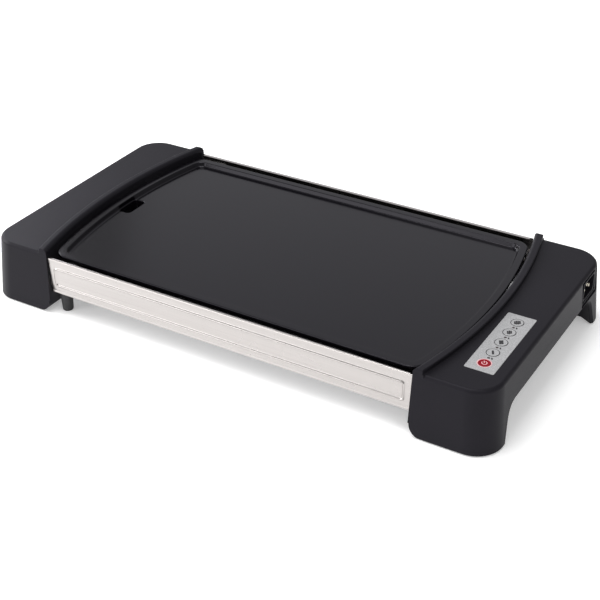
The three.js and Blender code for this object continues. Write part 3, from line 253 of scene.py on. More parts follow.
class KeypadSizes(bpy.types.PropertyGroup):
    key: length("Key", "Radius of a key's face", 0.0059)
    key_fillet: length("Key fillet", "Rounding of a key's face", 0.0002)
    key_drop: length("Key drop", "How much lower a key's face sits than its solid", 0.0002)
    flange: length("Flange", "Radius of a key's collar under the housing", 0.0072)
    flange_height: length("Flange height", "Thickness of a key's collar", 0.0012)
    stem: length("Stem", "Radius of a key's stem", 0.0025)
    plunger: length("Plunger", "Radius of a key's tip", 0.0015)
    plunger_length: length("Plunger length", "Length of a key's tip", 0.002)
    lamp: length("Lamp", "Radius of a lamp in the sheet", 0.0012)
    lamp_body: length("Lamp body", "Radius of a lamp under the sheet", 0.0017)
    sheet_edge: length("Sheet edge", "Rounding of the printed sheet's edge", 0.0001)
    corner: length("Corner", "Radius of the sheet's corners", 0.0015)
    ring_gap: length("Ring gap", "From a key to its printed ring", 0.0003)
    ring_width: length("Ring width", "Width of a printed ring", 0.0005)
    ink: length("Ink", "Thickness of the printed marks", 0.00004)
    bar_width: length("Bar width", "Width of a bar of the level marks", 0.0015)
    bar_length: length("Bar length", "Length of the longest bar", 0.0066)
    bar_pitch: length("Bar pitch", "Distance between bars", 0.0017)
    print_turn: angle("Print turn", "Turn of the printed marks on the sheet", 35)
    print_slant: angle("Print slant", "Lean of the printed marks' bars", -9)
    symbol: length("Symbol", "Radius of the power mark", 0.0029)
    symbol_width: length("Symbol width", "Line width of the power mark", 0.0008)
    dish: length("Dish", "Depth of the hollow in a key's face", 0.00012)
    halo: length("Halo", "Width of the pale ring round the power key", 0.0009)
    tick_shift: length("Tick shift", "From the lamp to its small printed tick", 0.0033)


class FixingSizes(bpy.types.PropertyGroup):
    head_round: length("Head rounding", "Rounding of a screw's head", 0.0006)
    cross_length: length("Cross length", "Length of the screw head's cross", 0.0034)
    cross_width: length("Cross width", "Width of the screw head's cross", 0.0007)
    cross_depth: length("Cross depth", "Depth of the screw head's cross", 0.0008)
    foot_fillet: length("Foot fillet", "Rounding of the rubber feet", 0.0004)
    stub: length("Stub", "Radius of a stub foot at its top", 0.0070)
    stub_fillet: length("Stub fillet", "Rounding at the tip of a stub foot", 0.0018)


class InletSizes(bpy.types.PropertyGroup):
    width: length("Width", "Width of the inlet's well", 0.028)
    height: length("Height", "Height of the inlet's well", 0.019)
    corner: length("Corner", "Radius of the well's corners", 0.003)
    depth: length("Depth", "Depth of the well", 0.013)
    lip: length("Lip", "Width of the lip behind the housing's wall", 0.0015)
    lip_sheet: length("Lip sheet", "Thickness of that lip", 0.0014)
    wall: length("Wall", "Distance from the inlet's face to the back of its lip", 0.0048)
    frame_edge: length("Frame edge", "Rounding of the frame's face", 0.0008)
    frame_inset: length("Frame inset", "How far the frame's face sits behind its solid", 0.0019)
    moat: length("Moat", "Gap at each side between the housing's window and the frame", 0.0016)
    recess_side: length("Recess side", "Width of the recess beyond the window", 0.0052)
    recess_depth: length("Recess depth", "Depth of the recess round the window", 0.0015)


class TraySizes(bpy.types.PropertyGroup):
    wall: length("Wall", "Wall thickness of the drip tray", 0.0016)
    depth: length("Depth", "Depth of the drip tray", 0.016)
    draft: length("Draft", "How far the walls draw in toward the floor", 0.003)
    corner: length("Corner", "Radius of the tray's corners", 0.004)
    floor_round: length("Floor rounding", "Rounding of the tray's lower edge", 0.002)
    lip: length("Lip", "Width of the lips that hang on the rails", 0.006)
    lip_sheet: length("Lip sheet", "Thickness of the lips", 0.0016)
    grip_wall: length("Grip wall", "Thickness of the grip", 0.003)
    grip_lip: length("Grip lip", "Width of the grip's turned edge", 0.006)
    grip_edge: length("Grip edge", "Rounding of the grip's edges", 0.0011)


class Finishes(bpy.types.PropertyGroup):
    housing: colour("Housing", "Black moulded plastic", (0.0120, 0.0112, 0.0142))
    plate: colour("Plate", "Dark non-stick coating", (0.0036, 0.0032, 0.0046))
    steel: colour("Steel", "Brushed stainless steel", (0.478, 0.453, 0.440))
    # Painted shade: the pan is far darker than bare aluminised steel, so the gap round the plate reads
    # black; heat is not what darkens it
    pan: colour("Pan", "Heat-darkened aluminised steel", (0.20, 0.20, 0.21))
    element: colour("Element", "Oxidised sheath of the heater", (0.085, 0.075, 0.068))
    keypad: colour("Keypad", "Silver printed film", (0.40, 0.40, 0.405))
    ink: colour("Ink", "Dark grey printing", (0.012, 0.011, 0.013))
    red: colour("Red", "Red key", (0.22, 0.003, 0.010))
    mark: colour("Mark", "Pale mark on the red key", (0.74, 0.42, 0.44))
    lens: colour("Lens", "Smoked lamp lens", (0.045, 0.03, 0.03))
    board: colour("Board", "Green circuit board", (0.012, 0.085, 0.035))
    component: colour("Component", "Black epoxy case", (0.02, 0.02, 0.022))
    brass: colour("Brass", "Nickel-plated brass", (0.62, 0.57, 0.47))
    lead: colour("Lead", "Glass-braided lead", (0.09, 0.085, 0.08))
    rubber: colour("Rubber", "Black rubber", (0.016, 0.016, 0.017))
    screw: colour("Screw", "Zinc-plated steel", (0.52, 0.53, 0.54))
    sheen: colour("Sheen", "Tint of the dark pieces' reflection", (0.93, 0.90, 1.0))
    floor: colour("Floor", "White studio floor", (0.93, 0.93, 0.93))
    housing_shine: share("Housing shine", "Strength of the moulded plastic's reflection", 0.10)
    plate_shine: share("Plate shine", "Strength of the coating's reflection", 0.26)
    housing_rough: share("Housing roughness", "Roughness of the moulded plastic", 0.43)
    plate_rough: share("Plate roughness", "Roughness of the non-stick coating", 0.16)
    steel_rough: share("Steel roughness", "Roughness of the brushed steel", 0.26)


class StageSettings(bpy.types.PropertyGroup):
    azimuth: angle("Azimuth", "Camera direction round the object", 30.94)
    elevation: angle("Elevation", "Camera height angle", 31.78)
    roll: angle("Roll", "Camera roll", -0.53)
    distance: length("Distance", "From the camera to the object's origin", 1.3959)
    shift_right: length("Shift right", "Camera shift along its right", 0.00729)
    shift_up: length("Shift up", "Camera shift along its up", 0.00153)
    lens: FloatProperty(name="Lens", description="Focal length on a 36 mm sensor", default=76.26,
                        unit="CAMERA")
    floor_size: length("Floor size", "Side of the square floor", 12)
    sky: FloatProperty(name="Sky", description="Strength of the even surrounding light", default=0.40, min=0)
    glow: FloatProperty(name="Glow", description="Light that the floor gives off", default=0.30, min=0)
    cool: colour("Cool light", "Tint of the two lights behind", (0.93, 0.93, 1.0))
    top_place: place("Top light", "Place of the main light, high over the object", (-0.25, -0.3, 2.6))
    top_size: length("Top light size", "Side of the main light", 1.3)
    top_power: power("Top light power", "Power of the main light", 34)
    left_place: place("Left light", "Place of the light at the left", (-3.0, -0.6, 1.3))
    left_size: length("Left light size", "Side of the light at the left", 1.8)
    left_power: power("Left light power", "Power of the light at the left", 85)
    right_place: place("Right light", "Place of the light at the right", (1.9, -1.3, 2.6))
    right_size: length("Right light size", "Side of the light at the right", 1.6)
    right_power: power("Right light power", "Power of the light at the right", 14)
    front_place: place("Front light", "Place of the low light in front, to the left", (-1.7, -2.8, 1.1))
    front_size: length("Front light size", "Side of the low light in front", 2.0)
    front_power: power("Front light power", "Power of the low light in front", 34)
    corner_place: place("Corner light", "Place of the light behind, far to the left", (-3.2, 1.7, 1.6))
    corner_size: length("Corner light size", "Side of the light behind, far to the left", 1.6)
    corner_power: power("Corner light power", "Power of the light behind, far to the left", 40)
    back_place: place("Back light", "Place of the light behind", (-1.1, 2.75, 1.85))
    back_size: length("Back light size", "Side of the light behind", 2.3)
    back_power: power("Back light power", "Power of the light behind", 6)


class PlanchaSettings(bpy.types.PropertyGroup):
    housing: PointerProperty(type=HousingSizes)
    plate: PointerProperty(type=PlateSizes)
    panel: PointerProperty(type=PanelSizes)
    keypad: PointerProperty(type=KeypadSizes)
    fixing: PointerProperty(type=FixingSizes)
    inlet: PointerProperty(type=InletSizes)
    tray: PointerProperty(type=TraySizes)
    finish: PointerProperty(type=Finishes)
    stage: PointerProperty(type=StageSettings)
    round_steps: IntProperty(name="Round steps", description="Steps in each small rounding", default=6,
                             min=2)


def settings():
    return bpy.context.scene.plancha


# Mesh helpers

def new_piece(name, points, faces):
    mesh = bpy.data.meshes.new(name)
    mesh.from_pydata([tuple(p) for p in points], [], faces)
    mesh.validate()
    piece = bpy.data.objects.new(name, mesh)
    bpy.context.scene.collection.objects.link(piece)
    return piece


def settle(piece):
    """Applies every modifier of a piece to its mesh."""
    graph = bpy.context.evaluated_depsgraph_get()
    mesh = bpy.data.meshes.new_from_object(piece.evaluated_get(graph))
    mesh.name = piece.name
    piece.modifiers.clear()
    piece.data = mesh
    return piece


def combine(piece, others, operation):
    """Changes a piece by each of the others in turn, and removes them."""
    for other in others:
        change = piece.modifiers.new("combine", "BOOLEAN")
        change.operation = operation
        change.solver = "MANIFOLD"
        change.object = other
        settle(piece)
        bpy.data.objects.remove(other)
    return piece


def cut(piece, *others):
    return combine(piece, others, "DIFFERENCE")


def join(piece, *others):
    return combine(piece, others, "UNION")


def common(piece, *others):
    return combine(piece, others, "INTERSECT")


def face_out(piece):
    """Turns a closed mesh inside out where its volume is negative."""
    mesh = piece.data
    total = 0
    for face in mesh.polygons:
        corners = [mesh.vertices[k].co for k in face.vertices]
        for k in range(1, len(corners) - 1):
            total += corners[0].dot(corners[k].cross(corners[k + 1]))
    if total < 0:
        mesh.flip_normals()
    return piece


def loft(name, rings):
    """A closed skin through rings of points that all have the same count."""
    count = len(rings[0])
    points = [p for ring in rings for p in ring]
    faces = [list(range(count))[::-1], [(len(rings) - 1) * count + k for k in range(count)]]
    for row in range(len(rings) - 1):
        for k in range(count):
            a = row * count + k
            b = row * count + (k + 1) % count
            faces.append([a, b, b + count, a + count])
    return face_out(new_piece(name, points, faces))


def lathe(name, profile, centre=(0, 0), steps=TURNED_STEPS):
    """A solid turned about a line along Z. The profile runs from the axis to the axis."""
    points = [(centre[0], centre[1], profile[0][1])]
    rows = profile[1:-1]
    for radius, z in rows:
        for k in range(steps):
            turn = FULL_TURN * k / steps
            points.append((centre[0] + radius * math.cos(turn), centre[1] + radius * math.sin(turn), z))
    points.append((centre[0], centre[1], profile[-1][1]))
    last = len(points) - 1
    faces = []
    for k in range(steps):
        after = (k + 1) % steps
        faces.append([0, 1 + after, 1 + k])
        for row in range(len(rows) - 1):
            low = 1 + row * steps
            high = low + steps
            faces.append([low + k, low + after, high + after, high + k])
        top = 1 + (len(rows) - 1) * steps
        faces.append([top + k, top + after, last])
    return face_out(new_piece(name, points, faces))


def along_x(a, b, c):
    return (c, a, b)


def along_y(a, b, c):
    return (a, c, b)


def along_z(a, b, c):
    return (a, b, c)


def prism(name, outline, low, high, place=along_z):
    """An outline carried from low to high; place turns its two values and the height into a point."""
    return loft(name, [[place(a, b, c) for a, b in outline] for c in (low, high)])


def box(name, low, high):
    outline = [(low[0], low[1]), (high[0], low[1]), (high[0], high[1]), (low[0], high[1])]
    return prism(name, outline, low[2], high[2])


def rod(name, centre, radius, low, high, steps=ROD_STEPS):
    return lathe(name, [(0, low), (radius, low), (radius, high), (0, high)], centre, steps)


def quarter_turns(first=0):
    """The turns of a small rounding: even steps up to a quarter turn."""
    steps = settings().round_steps
    return [QUARTER * k / steps for k in range(first, steps + 1)]


def arc(centre, radius, start, stop, steps):
    """Points on a circle, from one turn to another."""
    return [
        (centre[0] + radius * math.cos(start + (stop - start) * k / steps),
         centre[1] + radius * math.sin(start + (stop - start) * k / steps))
        for k in range(steps + 1)
    ]


def rounded_rectangle(width, height, corner, centre=(0, 0), steps=CORNER_STEPS):
    outline = []
    for k, (sign_a, sign_b) in enumerate(((1, 1), (-1, 1), (-1, -1), (1, -1))):
        middle = (centre[0] + sign_a * (width / 2 - corner), centre[1] + sign_b * (height / 2 - corner))
        outline += arc(middle, corner, k * QUARTER, (k + 1) * QUARTER, steps)
    return outline


def bezier(start, bend, stop, steps):
    """A curve from start to stop that heads for the bend between them."""
    outline = []
    for k in range(steps + 1):
        t = k / steps
        outline.append(tuple(
            (1 - t) ** 2 * a + 2 * t * (1 - t) * b + t * t * c for a, b, c in zip(start, bend, stop)))
    return outline


def mirror_x(piece):
    """Turns a right-hand piece into a left-hand one."""
    piece.data.transform(Matrix.Scale(-1, 4, Vector((1, 0, 0))))
    piece.data.flip_normals()
    return piece


def bevel(piece, width, steps):
    change = piece.modifiers.new("bevel", "BEVEL")
    change.width = width
    change.segments = steps
    change.limit_method = "ANGLE"
    change.angle_limit = BEVEL_ANGLE
    return settle(piece)


def dress(piece, body, slot, finish, *nodes):
    """Shades a piece, gives it its finish, and ties it to the frame."""
    mesh = piece.data
    mesh.polygons.foreach_set("use_smooth", [True] * len(mesh.polygons))
    mesh.set_sharp_from_angle(angle=SHARP_ANGLE)
    weigh = piece.modifiers.new("weigh", "WEIGHTED_NORMAL")
    weigh.keep_sharp = True
    weigh.weight = FACE_WEIGHT
    settle(piece)
    piece.data.materials.clear()
    piece.data.materials.append(finish)
    if nodes:
        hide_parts(*nodes)
    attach(piece, body)


# Finishes

class Finish:
    """A material under construction: its node tree, its shader and short ways to add nodes."""

    def __init__(self, name):
        self.material = bpy.data.materials.new(name)
        self.material.use_nodes = True
        self.tree = self.material.node_tree
        self.shader = self.tree.nodes["Principled BSDF"]
        self.where = self.tree.nodes.new("ShaderNodeTexCoord").outputs["Object"]

    def node(self, kind, **values):
        """Adds a node; each value goes to the input of its name, or else to the node itself."""
        node = self.tree.nodes.new(kind)
        for name, value in values.items():
            if name in node.inputs:
                node.inputs[name].default_value = value
            else:
                setattr(node, name, value)
        return node

    def link(self, source, target):
        self.tree.links.new(source, target)

    def stretched(self, stretch):
        mapping = self.node("ShaderNodeMapping")
        mapping.inputs["Scale"].default_value = stretch
        self.link(self.where, mapping.inputs["Vector"])
        return mapping.outputs["Vector"]

    def noise(self, scale, detail=2, stretch=(1, 1, 1)):
        node = self.node("ShaderNodeTexNoise", Scale=scale, Detail=detail)
        self.link(self.stretched(stretch), node.inputs["Vector"])
        return node.outputs["Fac"]

    def ramp(self, source, low, high, start=0.3, stop=0.7):
        """Maps a pattern to values from low to high."""
        node = self.node("ShaderNodeMapRange")
        node.inputs["From Min"].default_value = start
        node.inputs["From Max"].default_value = stop
        node.inputs["To Min"].default_value = low
        node.inputs["To Max"].default_value = high
        self.link(source, node.inputs["Value"])
        return node.outputs["Result"]

    def blend(self, source, first, second):
        """Colours the surface from one colour to another by a pattern."""
        node = self.node("ShaderNodeMix", data_type="RGBA")
        colours = [socket for socket in node.inputs if socket.type == "RGBA"]
        colours[0].default_value = (*first, 1)
        colours[1].default_value = (*second, 1)
        self.link(source, node.inputs["Factor"])
        mixed = [socket for socket in node.outputs if socket.type == "RGBA"][0]
        self.link(mixed, self.shader.inputs["Base Color"])

    def vary(self, base, pattern, spread):
        """Base colour that swings by a share of itself with a pattern."""
        dark = [value * (1 - spread) for value in base]
        light = [min(1, value * (1 + spread)) for value in base]
        self.blend(self.ramp(pattern, 0, 1), dark, light)

    def rough(self, pattern, base, spread):
        """Roughness that swings by spread to each side of its base with a pattern."""
        self.link(self.ramp(pattern, base - spread, base + spread), self.shader.inputs["Roughness"])

    def bump(self, pattern, depth, strength, soft_edge=0):
        """Fine relief from a pattern; soft_edge rounds the look of sharp edges."""
        node = self.node("ShaderNodeBump", Strength=strength, Distance=depth)
        self.link(pattern, node.inputs["Height"])
        if soft_edge:
            edge = self.node("ShaderNodeBevel", Radius=soft_edge)
            edge.samples = SOFT_EDGE_SAMPLES
            self.link(edge.outputs["Normal"], node.inputs["Normal"])
        self.link(node.outputs["Normal"], self.shader.inputs["Normal"])

    def set(self, **values):
        """Sets values of the shader, with _ for each space in a name."""
        for name, value in values.items():
            self.shader.inputs[name.replace("_", " ")].default_value = value


def moulded_plastic(name, base, roughness, soft_edge):
    """Dark plastic with the fine grain of its mould."""
    tint = settings().finish
    finish = Finish(name)
    grain = finish.noise(scale=2600, detail=3)
    cloud = finish.noise(scale=9)
    finish.vary(base, cloud, spread=0.10)
    finish.rough(grain, roughness, spread=0.05)
    finish.bump(grain, MOULD_GRAIN, strength=0.55, soft_edge=soft_edge)
    finish.set(Specular_IOR_Level=tint.housing_shine, Specular_Tint=(*tint.sheen, 1))
    return finish.material


def coated_plate_finish():
    """Dark coating with sparse lighter specks and faint smears."""
    tint = settings().finish
    finish = Finish("nonstick_coating")
    speckle = finish.noise(scale=3400)
    smear = finish.noise(scale=7, detail=3)
    speck_strength = 1.9
    specks = [value * speck_strength for value in tint.plate]
    finish.blend(finish.ramp(speckle, 0, 1, start=0.62, stop=0.74), tint.plate, specks)
    finish.rough(smear, tint.plate_rough, spread=0.03)
    finish.bump(speckle, COATING_SPECKLE, strength=0.5)
    finish.set(Specular_IOR_Level=tint.plate_shine, Specular_Tint=(*tint.sheen, 1))
    return finish.material


def brushed_metal(name, base, roughness, direction):
    """Metal with fine lines; direction stretches them along the axis of its smallest value."""
    finish = Finish(name)
    lines = finish.noise(scale=60, detail=4, stretch=direction)
    haze = finish.noise(scale=14)
    finish.vary(base, lines, spread=0.05)
    finish.rough(haze, roughness, spread=0.04)
    finish.bump(lines, BRUSHED_LINES, strength=0.6)
    finish.set(Metallic=1, Anisotropic=0.35)
    return finish.material


def rolled_metal(name, base, roughness):
    """Sheet or plated metal with a soft mottle."""
    finish = Finish(name)
    mottle = finish.noise(scale=240, detail=3)
    finish.vary(base, mottle, spread=0.12)
    finish.rough(finish.noise(scale=60), roughness, spread=0.08)
    finish.bump(mottle, METAL_MOTTLE, strength=0.5)
    finish.set(Metallic=1)
    return finish.material


def heater_finish():
    """Steel sheath that heat has turned brown in bands."""
    finish = Finish("oxidised_sheath")
    bands = finish.noise(scale=30, detail=3)
    base = settings().finish.element
    browning = (1.5, 1.2, 1)
    brown = [value * change for value, change in zip(base, browning)]
    finish.blend(finish.ramp(bands, 0, 1), base, brown)
    finish.rough(finish.noise(scale=500), base=0.55, spread=0.1)
    finish.bump(finish.noise(scale=1500), HEATER_SCALE, strength=0.6)
    finish.set(Metallic=0.8)
    return finish.material


def silver_film():
    """Partly metallic printed film with a fine grain."""
    finish = Finish("silver_film")
    grain = finish.noise(scale=1100, detail=3)
    finish.vary(settings().finish.keypad, grain, spread=0.22)
    finish.rough(finish.noise(scale=700), base=0.42, spread=0.06)
    finish.bump(grain, FILM_GRAIN, strength=0.5)
    finish.set(Metallic=0.35)
    return finish.material


def printing_ink():
    """Dull ink, a little worn."""
    finish = Finish("printing_ink")
    worn = finish.noise(scale=1800)
    finish.vary(settings().finish.ink, worn, spread=0.3)
    finish.rough(worn, base=0.5, spread=0.05)
    return finish.material


def clear_plastic(name, base, roughness, shine):
    """Smooth tinted plastic, slightly cloudy inside."""
    finish = Finish(name)
    cloud = finish.noise(scale=900)
    finish.vary(base, cloud, spread=0.08)
    finish.rough(cloud, roughness, spread=0.03)
    finish.bump(cloud, PLASTIC_CLOUD, strength=0.3)
    finish.set(Specular_IOR_Level=shine)
    return finish.material


def circuit_board():
    """Green board with a grid of lighter tracks."""
    finish = Finish("circuit_board")
    base = settings().finish.board
    tracks = finish.node("ShaderNodeTexBrick", Scale=420)
    finish.link(finish.where, tracks.inputs["Vector"])
    track_strength = 2.4
    light = [value * track_strength for value in base]
    finish.blend(finish.ramp(tracks.outputs["Fac"], 0, 1, start=0, stop=1), base, light)
    finish.rough(finish.noise(scale=1500), base=0.38, spread=0.06)
    finish.bump(tracks.outputs["Fac"], BOARD_TRACKS, strength=0.5)
    return finish.material


def braided_lead():
    """Dull woven sleeve of the inner leads."""
    finish = Finish("braided_lead")
    weave = finish.node("ShaderNodeTexWave", Scale=900, Distortion=1.5)
    finish.link(finish.where, weave.inputs["Vector"])
    finish.vary(settings().finish.lead, weave.outputs["Fac"], spread=0.15)
    finish.rough(weave.outputs["Fac"], base=0.7, spread=0.05)
    finish.bump(weave.outputs["Fac"], LEAD_BRAID, strength=0.5)
    return finish.material


def rubber_finish():
    """Matt rubber with a little dust on it."""
    finish = Finish("rubber")
    dust = finish.noise(scale=600, detail=3)
    finish.vary(settings().finish.rubber, dust, spread=0.25)
    finish.rough(dust, base=0.62, spread=0.06)
    finish.bump(dust, RUBBER_DUST, strength=0.5)
    return finish.material


LOOKS = {}


def look(name):
    """A finish by name, made on first use."""
    if name not in LOOKS:
        tint = settings().finish
        makers = {
            "housing": lambda: moulded_plastic("moulded_plastic", tint.housing, tint.housing_rough,
                                               HOUSING_SOFT_EDGE),
            "plate": coated_plate_finish,
            "steel": lambda: brushed_metal("brushed_steel", tint.steel, tint.steel_rough,
                                           direction=(0.08, 6, 18)),
            # Painted shade: the pan's sheet is darkened so the gap above it reads black
            "pan": lambda: rolled_metal("aluminised_sheet", tint.pan, roughness=0.5),
            "element": heater_finish,
            "keypad": silver_film,
            "ink": printing_ink,
            "power": lambda: clear_plastic("red_plastic", tint.red, roughness=0.35,
                                           shine=tint.housing_shine),
            "mark": lambda: clear_plastic("pale_mark", tint.mark, roughness=0.4,
                                          shine=tint.housing_shine),
            "lens": lambda: clear_plastic("smoked_lens", tint.lens, roughness=0.15, shine=0.5),
            "board": circuit_board,
            "component": lambda: moulded_plastic("epoxy", tint.component, roughness=0.35,
                                                 soft_edge=EPOXY_SOFT_EDGE),
            "brass": lambda: brushed_metal("nickel_plate", tint.brass, roughness=0.25,
                                           direction=(0.3, 8, 8)),
            "lead": braided_lead,
            "rubber": rubber_finish,
            "screw": lambda: rolled_metal("zinc_plate", tint.screw, roughness=0.3),
        }
        LOOKS[name] = makers[name]()
    return LOOKS[name]


# Forms that the housings, covers and plate share

def half_of(node):
    """Half the span of a CAD node along Y."""
    low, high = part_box(node)
    return (high[1] - low[1]) / 2


def middle_of(node):
    """The middle of a CAD node, seen from above."""
    low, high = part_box(node)
    return ((low[0] + high[0]) / 2, (low[1] + high[1]) / 2)


def plate_end():
    """X of the plate's end on its middle line."""
    size = settings().housing
    return size.half_length - size.waist - size.plate_gap


def arc_centre():
    """X of the point that the right end's bows turn about."""
    return plate_end() - settings().housing.end_radius


def inner_radius():
    """Radius of the housing's inner edge, one gap beyond the plate's end."""
    size = settings().housing
    return size.end_radius + size.plate_gap


def end_arc_x(radius, y):
    """X of a bow of the right end at one Y."""
    return arc_centre() + math.sqrt(radius * radius - y * y)


def arc_turns():
    """Even turns along a bow of the right end, from beyond the front to beyond the rear."""
    size = settings().housing
    reach = math.asin((size.half_depth + size.corner) / size.end_radius)
    return [-reach + 2 * reach * k / END_ARC_STEPS for k in range(END_ARC_STEPS + 1)]


def arch_top():
    """Height of the arch's flat top."""
    size = settings().housing
    return size.top - size.grip_depth


def housing_ring(z, inset):
    """The housing's outline at one height, drawn for the right end and open toward the plate."""
    size = settings().housing
    rise = z / size.top
    far_x = size.half_length - size.end_lean * rise - inset
    far_y = size.half_depth - size.face_lean * rise - inset
    near_x = plate_end() - size.corner
    corner = size.corner - inset
    ring = [(near_x, -far_y, z)]
    for sign, start in ((-1, -QUARTER), (1, 0)):
        middle = (far_x - corner, sign * (far_y - corner))
        ring += [(x, y, z) for x, y in arc(middle, corner, start, start + QUARTER, steps=16)]
    ring.append((near_x, far_y, z))
    return ring


def housing_column(name, inset, low, high, top_fillet=0, low_fillet=0):
    """The housing's outer form between two heights, with the fillets that are given."""
    low_turns = quarter_turns()[:-1] if low_fillet else []
    top_turns = quarter_turns() if top_fillet else [0]
    rings = []
    for turn in low_turns:
        rings.append(housing_ring(low + low_fillet * (1 - math.cos(turn)),
                                  inset + low_fillet * (1 - math.sin(turn))))
    rings.append(housing_ring(low + low_fillet, inset))
    for turn in top_turns:
        rings.append(housing_ring(high - top_fillet * (1 - math.sin(turn)),
                                  inset + top_fillet * (1 - math.cos(turn))))
    return loft(name, rings)


def beyond_arc(name, radius):
    """Everything farther than radius from the centre of the end arcs, on the right."""
    size = settings().housing
    outline = [(arc_centre() + radius * math.cos(turn), radius * math.sin(turn)) for turn in arc_turns()]
    reach = outline[0][1] - size.corner
    far = size.half_length + size.corner
    outline += [(far, -reach), (far, reach)]
    return prism(name, outline, -size.half_depth, size.half_depth)


def arch_outline(margin, flare, grow=0):
    """The arch seen from the end, with leaning legs and soft upper corners."""
    size = settings().housing
    height = arch_top() + margin
    half = size.half_depth - size.leg + margin + flare
    corner = half - size.arch_lean * height
    side = math.hypot(height, half - corner)
    soft = size.arch_soft / side
    start = (corner + (half - corner) * soft, height * (1 - soft))
    stop = (corner - size.arch_soft, height)
    low = -size.corner
    points = [(half - size.arch_lean * low, low)] + bezier(start, (corner, height), stop, steps=14)
    points = [(y + grow, z + (grow if z > 0 else 0)) for y, z in points]
    return points + [(-y, z) for y, z in reversed(points)]


def arch_body(name, margin):
    """The hand-grip arch as a solid along X, with a rounded edge where it leaves the end wall."""
    size = settings().housing
    edge = size.arch_edge
    stations = [(size.half_length + size.corner, 0, edge), (size.half_length, 0, edge)]
    for turn in quarter_turns(1):
        stations.append((size.half_length - edge * math.sin(turn), 0, edge * (1 - math.sin(turn))))
    stations.append((size.half_length - size.arch_flare_depth, size.arch_flare, 0))
    stations.append((plate_end() - size.corner, size.arch_flare, 0))
    rings = []
    for x, flare, grow in stations:
        ring = []
        for y, z in arch_outline(margin, flare, grow):
            lean = size.end_lean * max(0, min(1, z / size.top))
            ring.append((x - lean, y, z))
        rings.append(ring)
    return loft(name, rings)


def heel_cut(name, inset):
    """What the rounded inner heel of each leg leaves out."""
    size = settings().housing
    edge_x = end_arc_x(inner_radius(), size.half_depth - size.face_lean)
    centre = (edge_x + size.heel, size.ground_gap + size.heel)
    radius = size.heel - inset
    low = size.ground_gap - size.corner
    outline = [(edge_x - size.corner, low), (centre[0], low)]
    outline += arc(centre, radius, -QUARTER, -2 * QUARTER, steps=16)
    outline.append((edge_x - size.corner, centre[1]))
    return prism(name, outline, -size.half_depth - size.corner, size.half_depth + size.corner, along_y)


def rim_band(name):
    """The raised rim along the housing's inner edge, with a small fillet at its outer foot."""
    size = settings().housing
    steps = settings().round_steps
    inner = inner_radius()
    outer = inner + size.rim_width
    top = size.top + size.rim_rise
    root = size.top - size.wall
    foot = size.rim_outer_fillet
    section = [(outer + foot, root), (outer + foot, size.top)]
    section += arc((outer + foot, size.top + foot), foot, -QUARTER, -2 * QUARTER, steps)[1:]
    section += arc((outer - foot, top - foot), foot, 0, QUARTER, steps)
    soft = size.rim_inner_fillet
    section += arc((inner + soft, top - soft), soft, QUARTER, 2 * QUARTER, steps + 2)
    section.append((inner, root))
    centre = arc_centre()
    rings = [[(centre + radius * math.cos(turn), radius * math.sin(turn), z) for radius, z in section]
             for turn in arc_turns()]
    return loft(name, rings)


def housing_shell(name):
    """A hollow housing with its rim and arch, drawn for the right end."""
    size = settings().housing
    shell = housing_column(name, 0, size.ground_gap, size.top, size.top_fillet, size.low_fillet)
    common(shell, beyond_arc("keep", inner_radius()))
    rim = rim_band("rim")
    common(rim, housing_column("keep", 0, size.top - size.corner, size.top + size.rim_rise,
                               size.rim_end_fillet))
    join(shell, rim)
    cavity = housing_column("cavity", size.wall, -size.corner, size.top - size.wall)
    common(cavity, beyond_arc("keep", inner_radius() + size.wall))
    cut(cavity, heel_cut("heel", size.wall))
    return cut(shell, cavity, arch_body("arch", 0), heel_cut("heel", 0))


def base_cover(name):
    """A cover that closes a housing from below and lines its arch, drawn for the right end."""
    size = settings().housing
    margin = size.wall + size.fit
    body = arch_body(name, size.cover)
    far = size.half_length + size.corner
    floors = box("floors", (0, -size.half_depth - size.corner, size.ground_gap),
                 (far, size.half_depth + size.corner, size.ground_gap + size.cover))
    join(body, floors)
    room = housing_column("room", margin, size.ground_gap, size.top)
    common(room, beyond_arc("keep", inner_radius() + margin))
    cut(room, heel_cut("heel", margin))
    common(body, room)
    cut(body, arch_body("arch", 0))
    return body


def cut_screw_recesses(cover, side):
    """Cuts a cover's two counterbores, in which its screws sit."""
    size = settings().housing
    for end in ENDS:
        node = f"cover_screw_{side}_{end}"
        low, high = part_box(node)
        radius = (high[0] - low[0]) / 2 + size.fit
        floor = low[2] + size.cover * SCREW_RECESS_SHARE
        cut(cover, rod("recess", middle_of(node), radius, -size.wall, floor))
    return cover


# Housings

class PLANCHA_OT_housings(bpy.types.Operator):
    """Moulded end housings with their rims, hand-grip arches, key holes and inlet window"""
    bl_idname = "plancha.housings"
    bl_label = "Housings"

    def execute(self, context):
        left = mirror_x(housing_shell("left_housing_shell"))
        dress(left, "appliance", "housing", look("housing"), "left_housing")
        right = housing_shell("right_housing_shell")
        cut_keypad_pocket(right)
        cut_inlet_window(right)
        dress(right, "appliance", "housing", look("housing"), "right_housing")
        return {"FINISHED"}


def cut_keypad_pocket(shell):
    """Sinks the place of the printed sheet, and opens it under the keys."""
    size = settings().housing
    keypad = settings().keypad
    low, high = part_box("keypad_overlay")
    width = high[0] - low[0]
    height = high[1] - low[1]
    centre = middle_of("keypad_overlay")
    pocket = rounded_rectangle(width + 2 * size.fit, height + 2 * size.fit, keypad.corner + size.fit, centre)
    cut(shell, prism("pocket", pocket, low[2] - size.fit, size.top + size.wall))
    ledge = keypad.corner
    window = rounded_rectangle(width - 2 * ledge, height - 2 * ledge, ledge, centre)
    cut(shell, prism("window", window, size.top - 2 * size.wall, size.top))


def along_leaning_end(a, b, c):
    """Like along_x, and leaning in with the housing's outer end."""
    size = settings().housing
    return (c - size.end_lean * b / size.top, a, b)


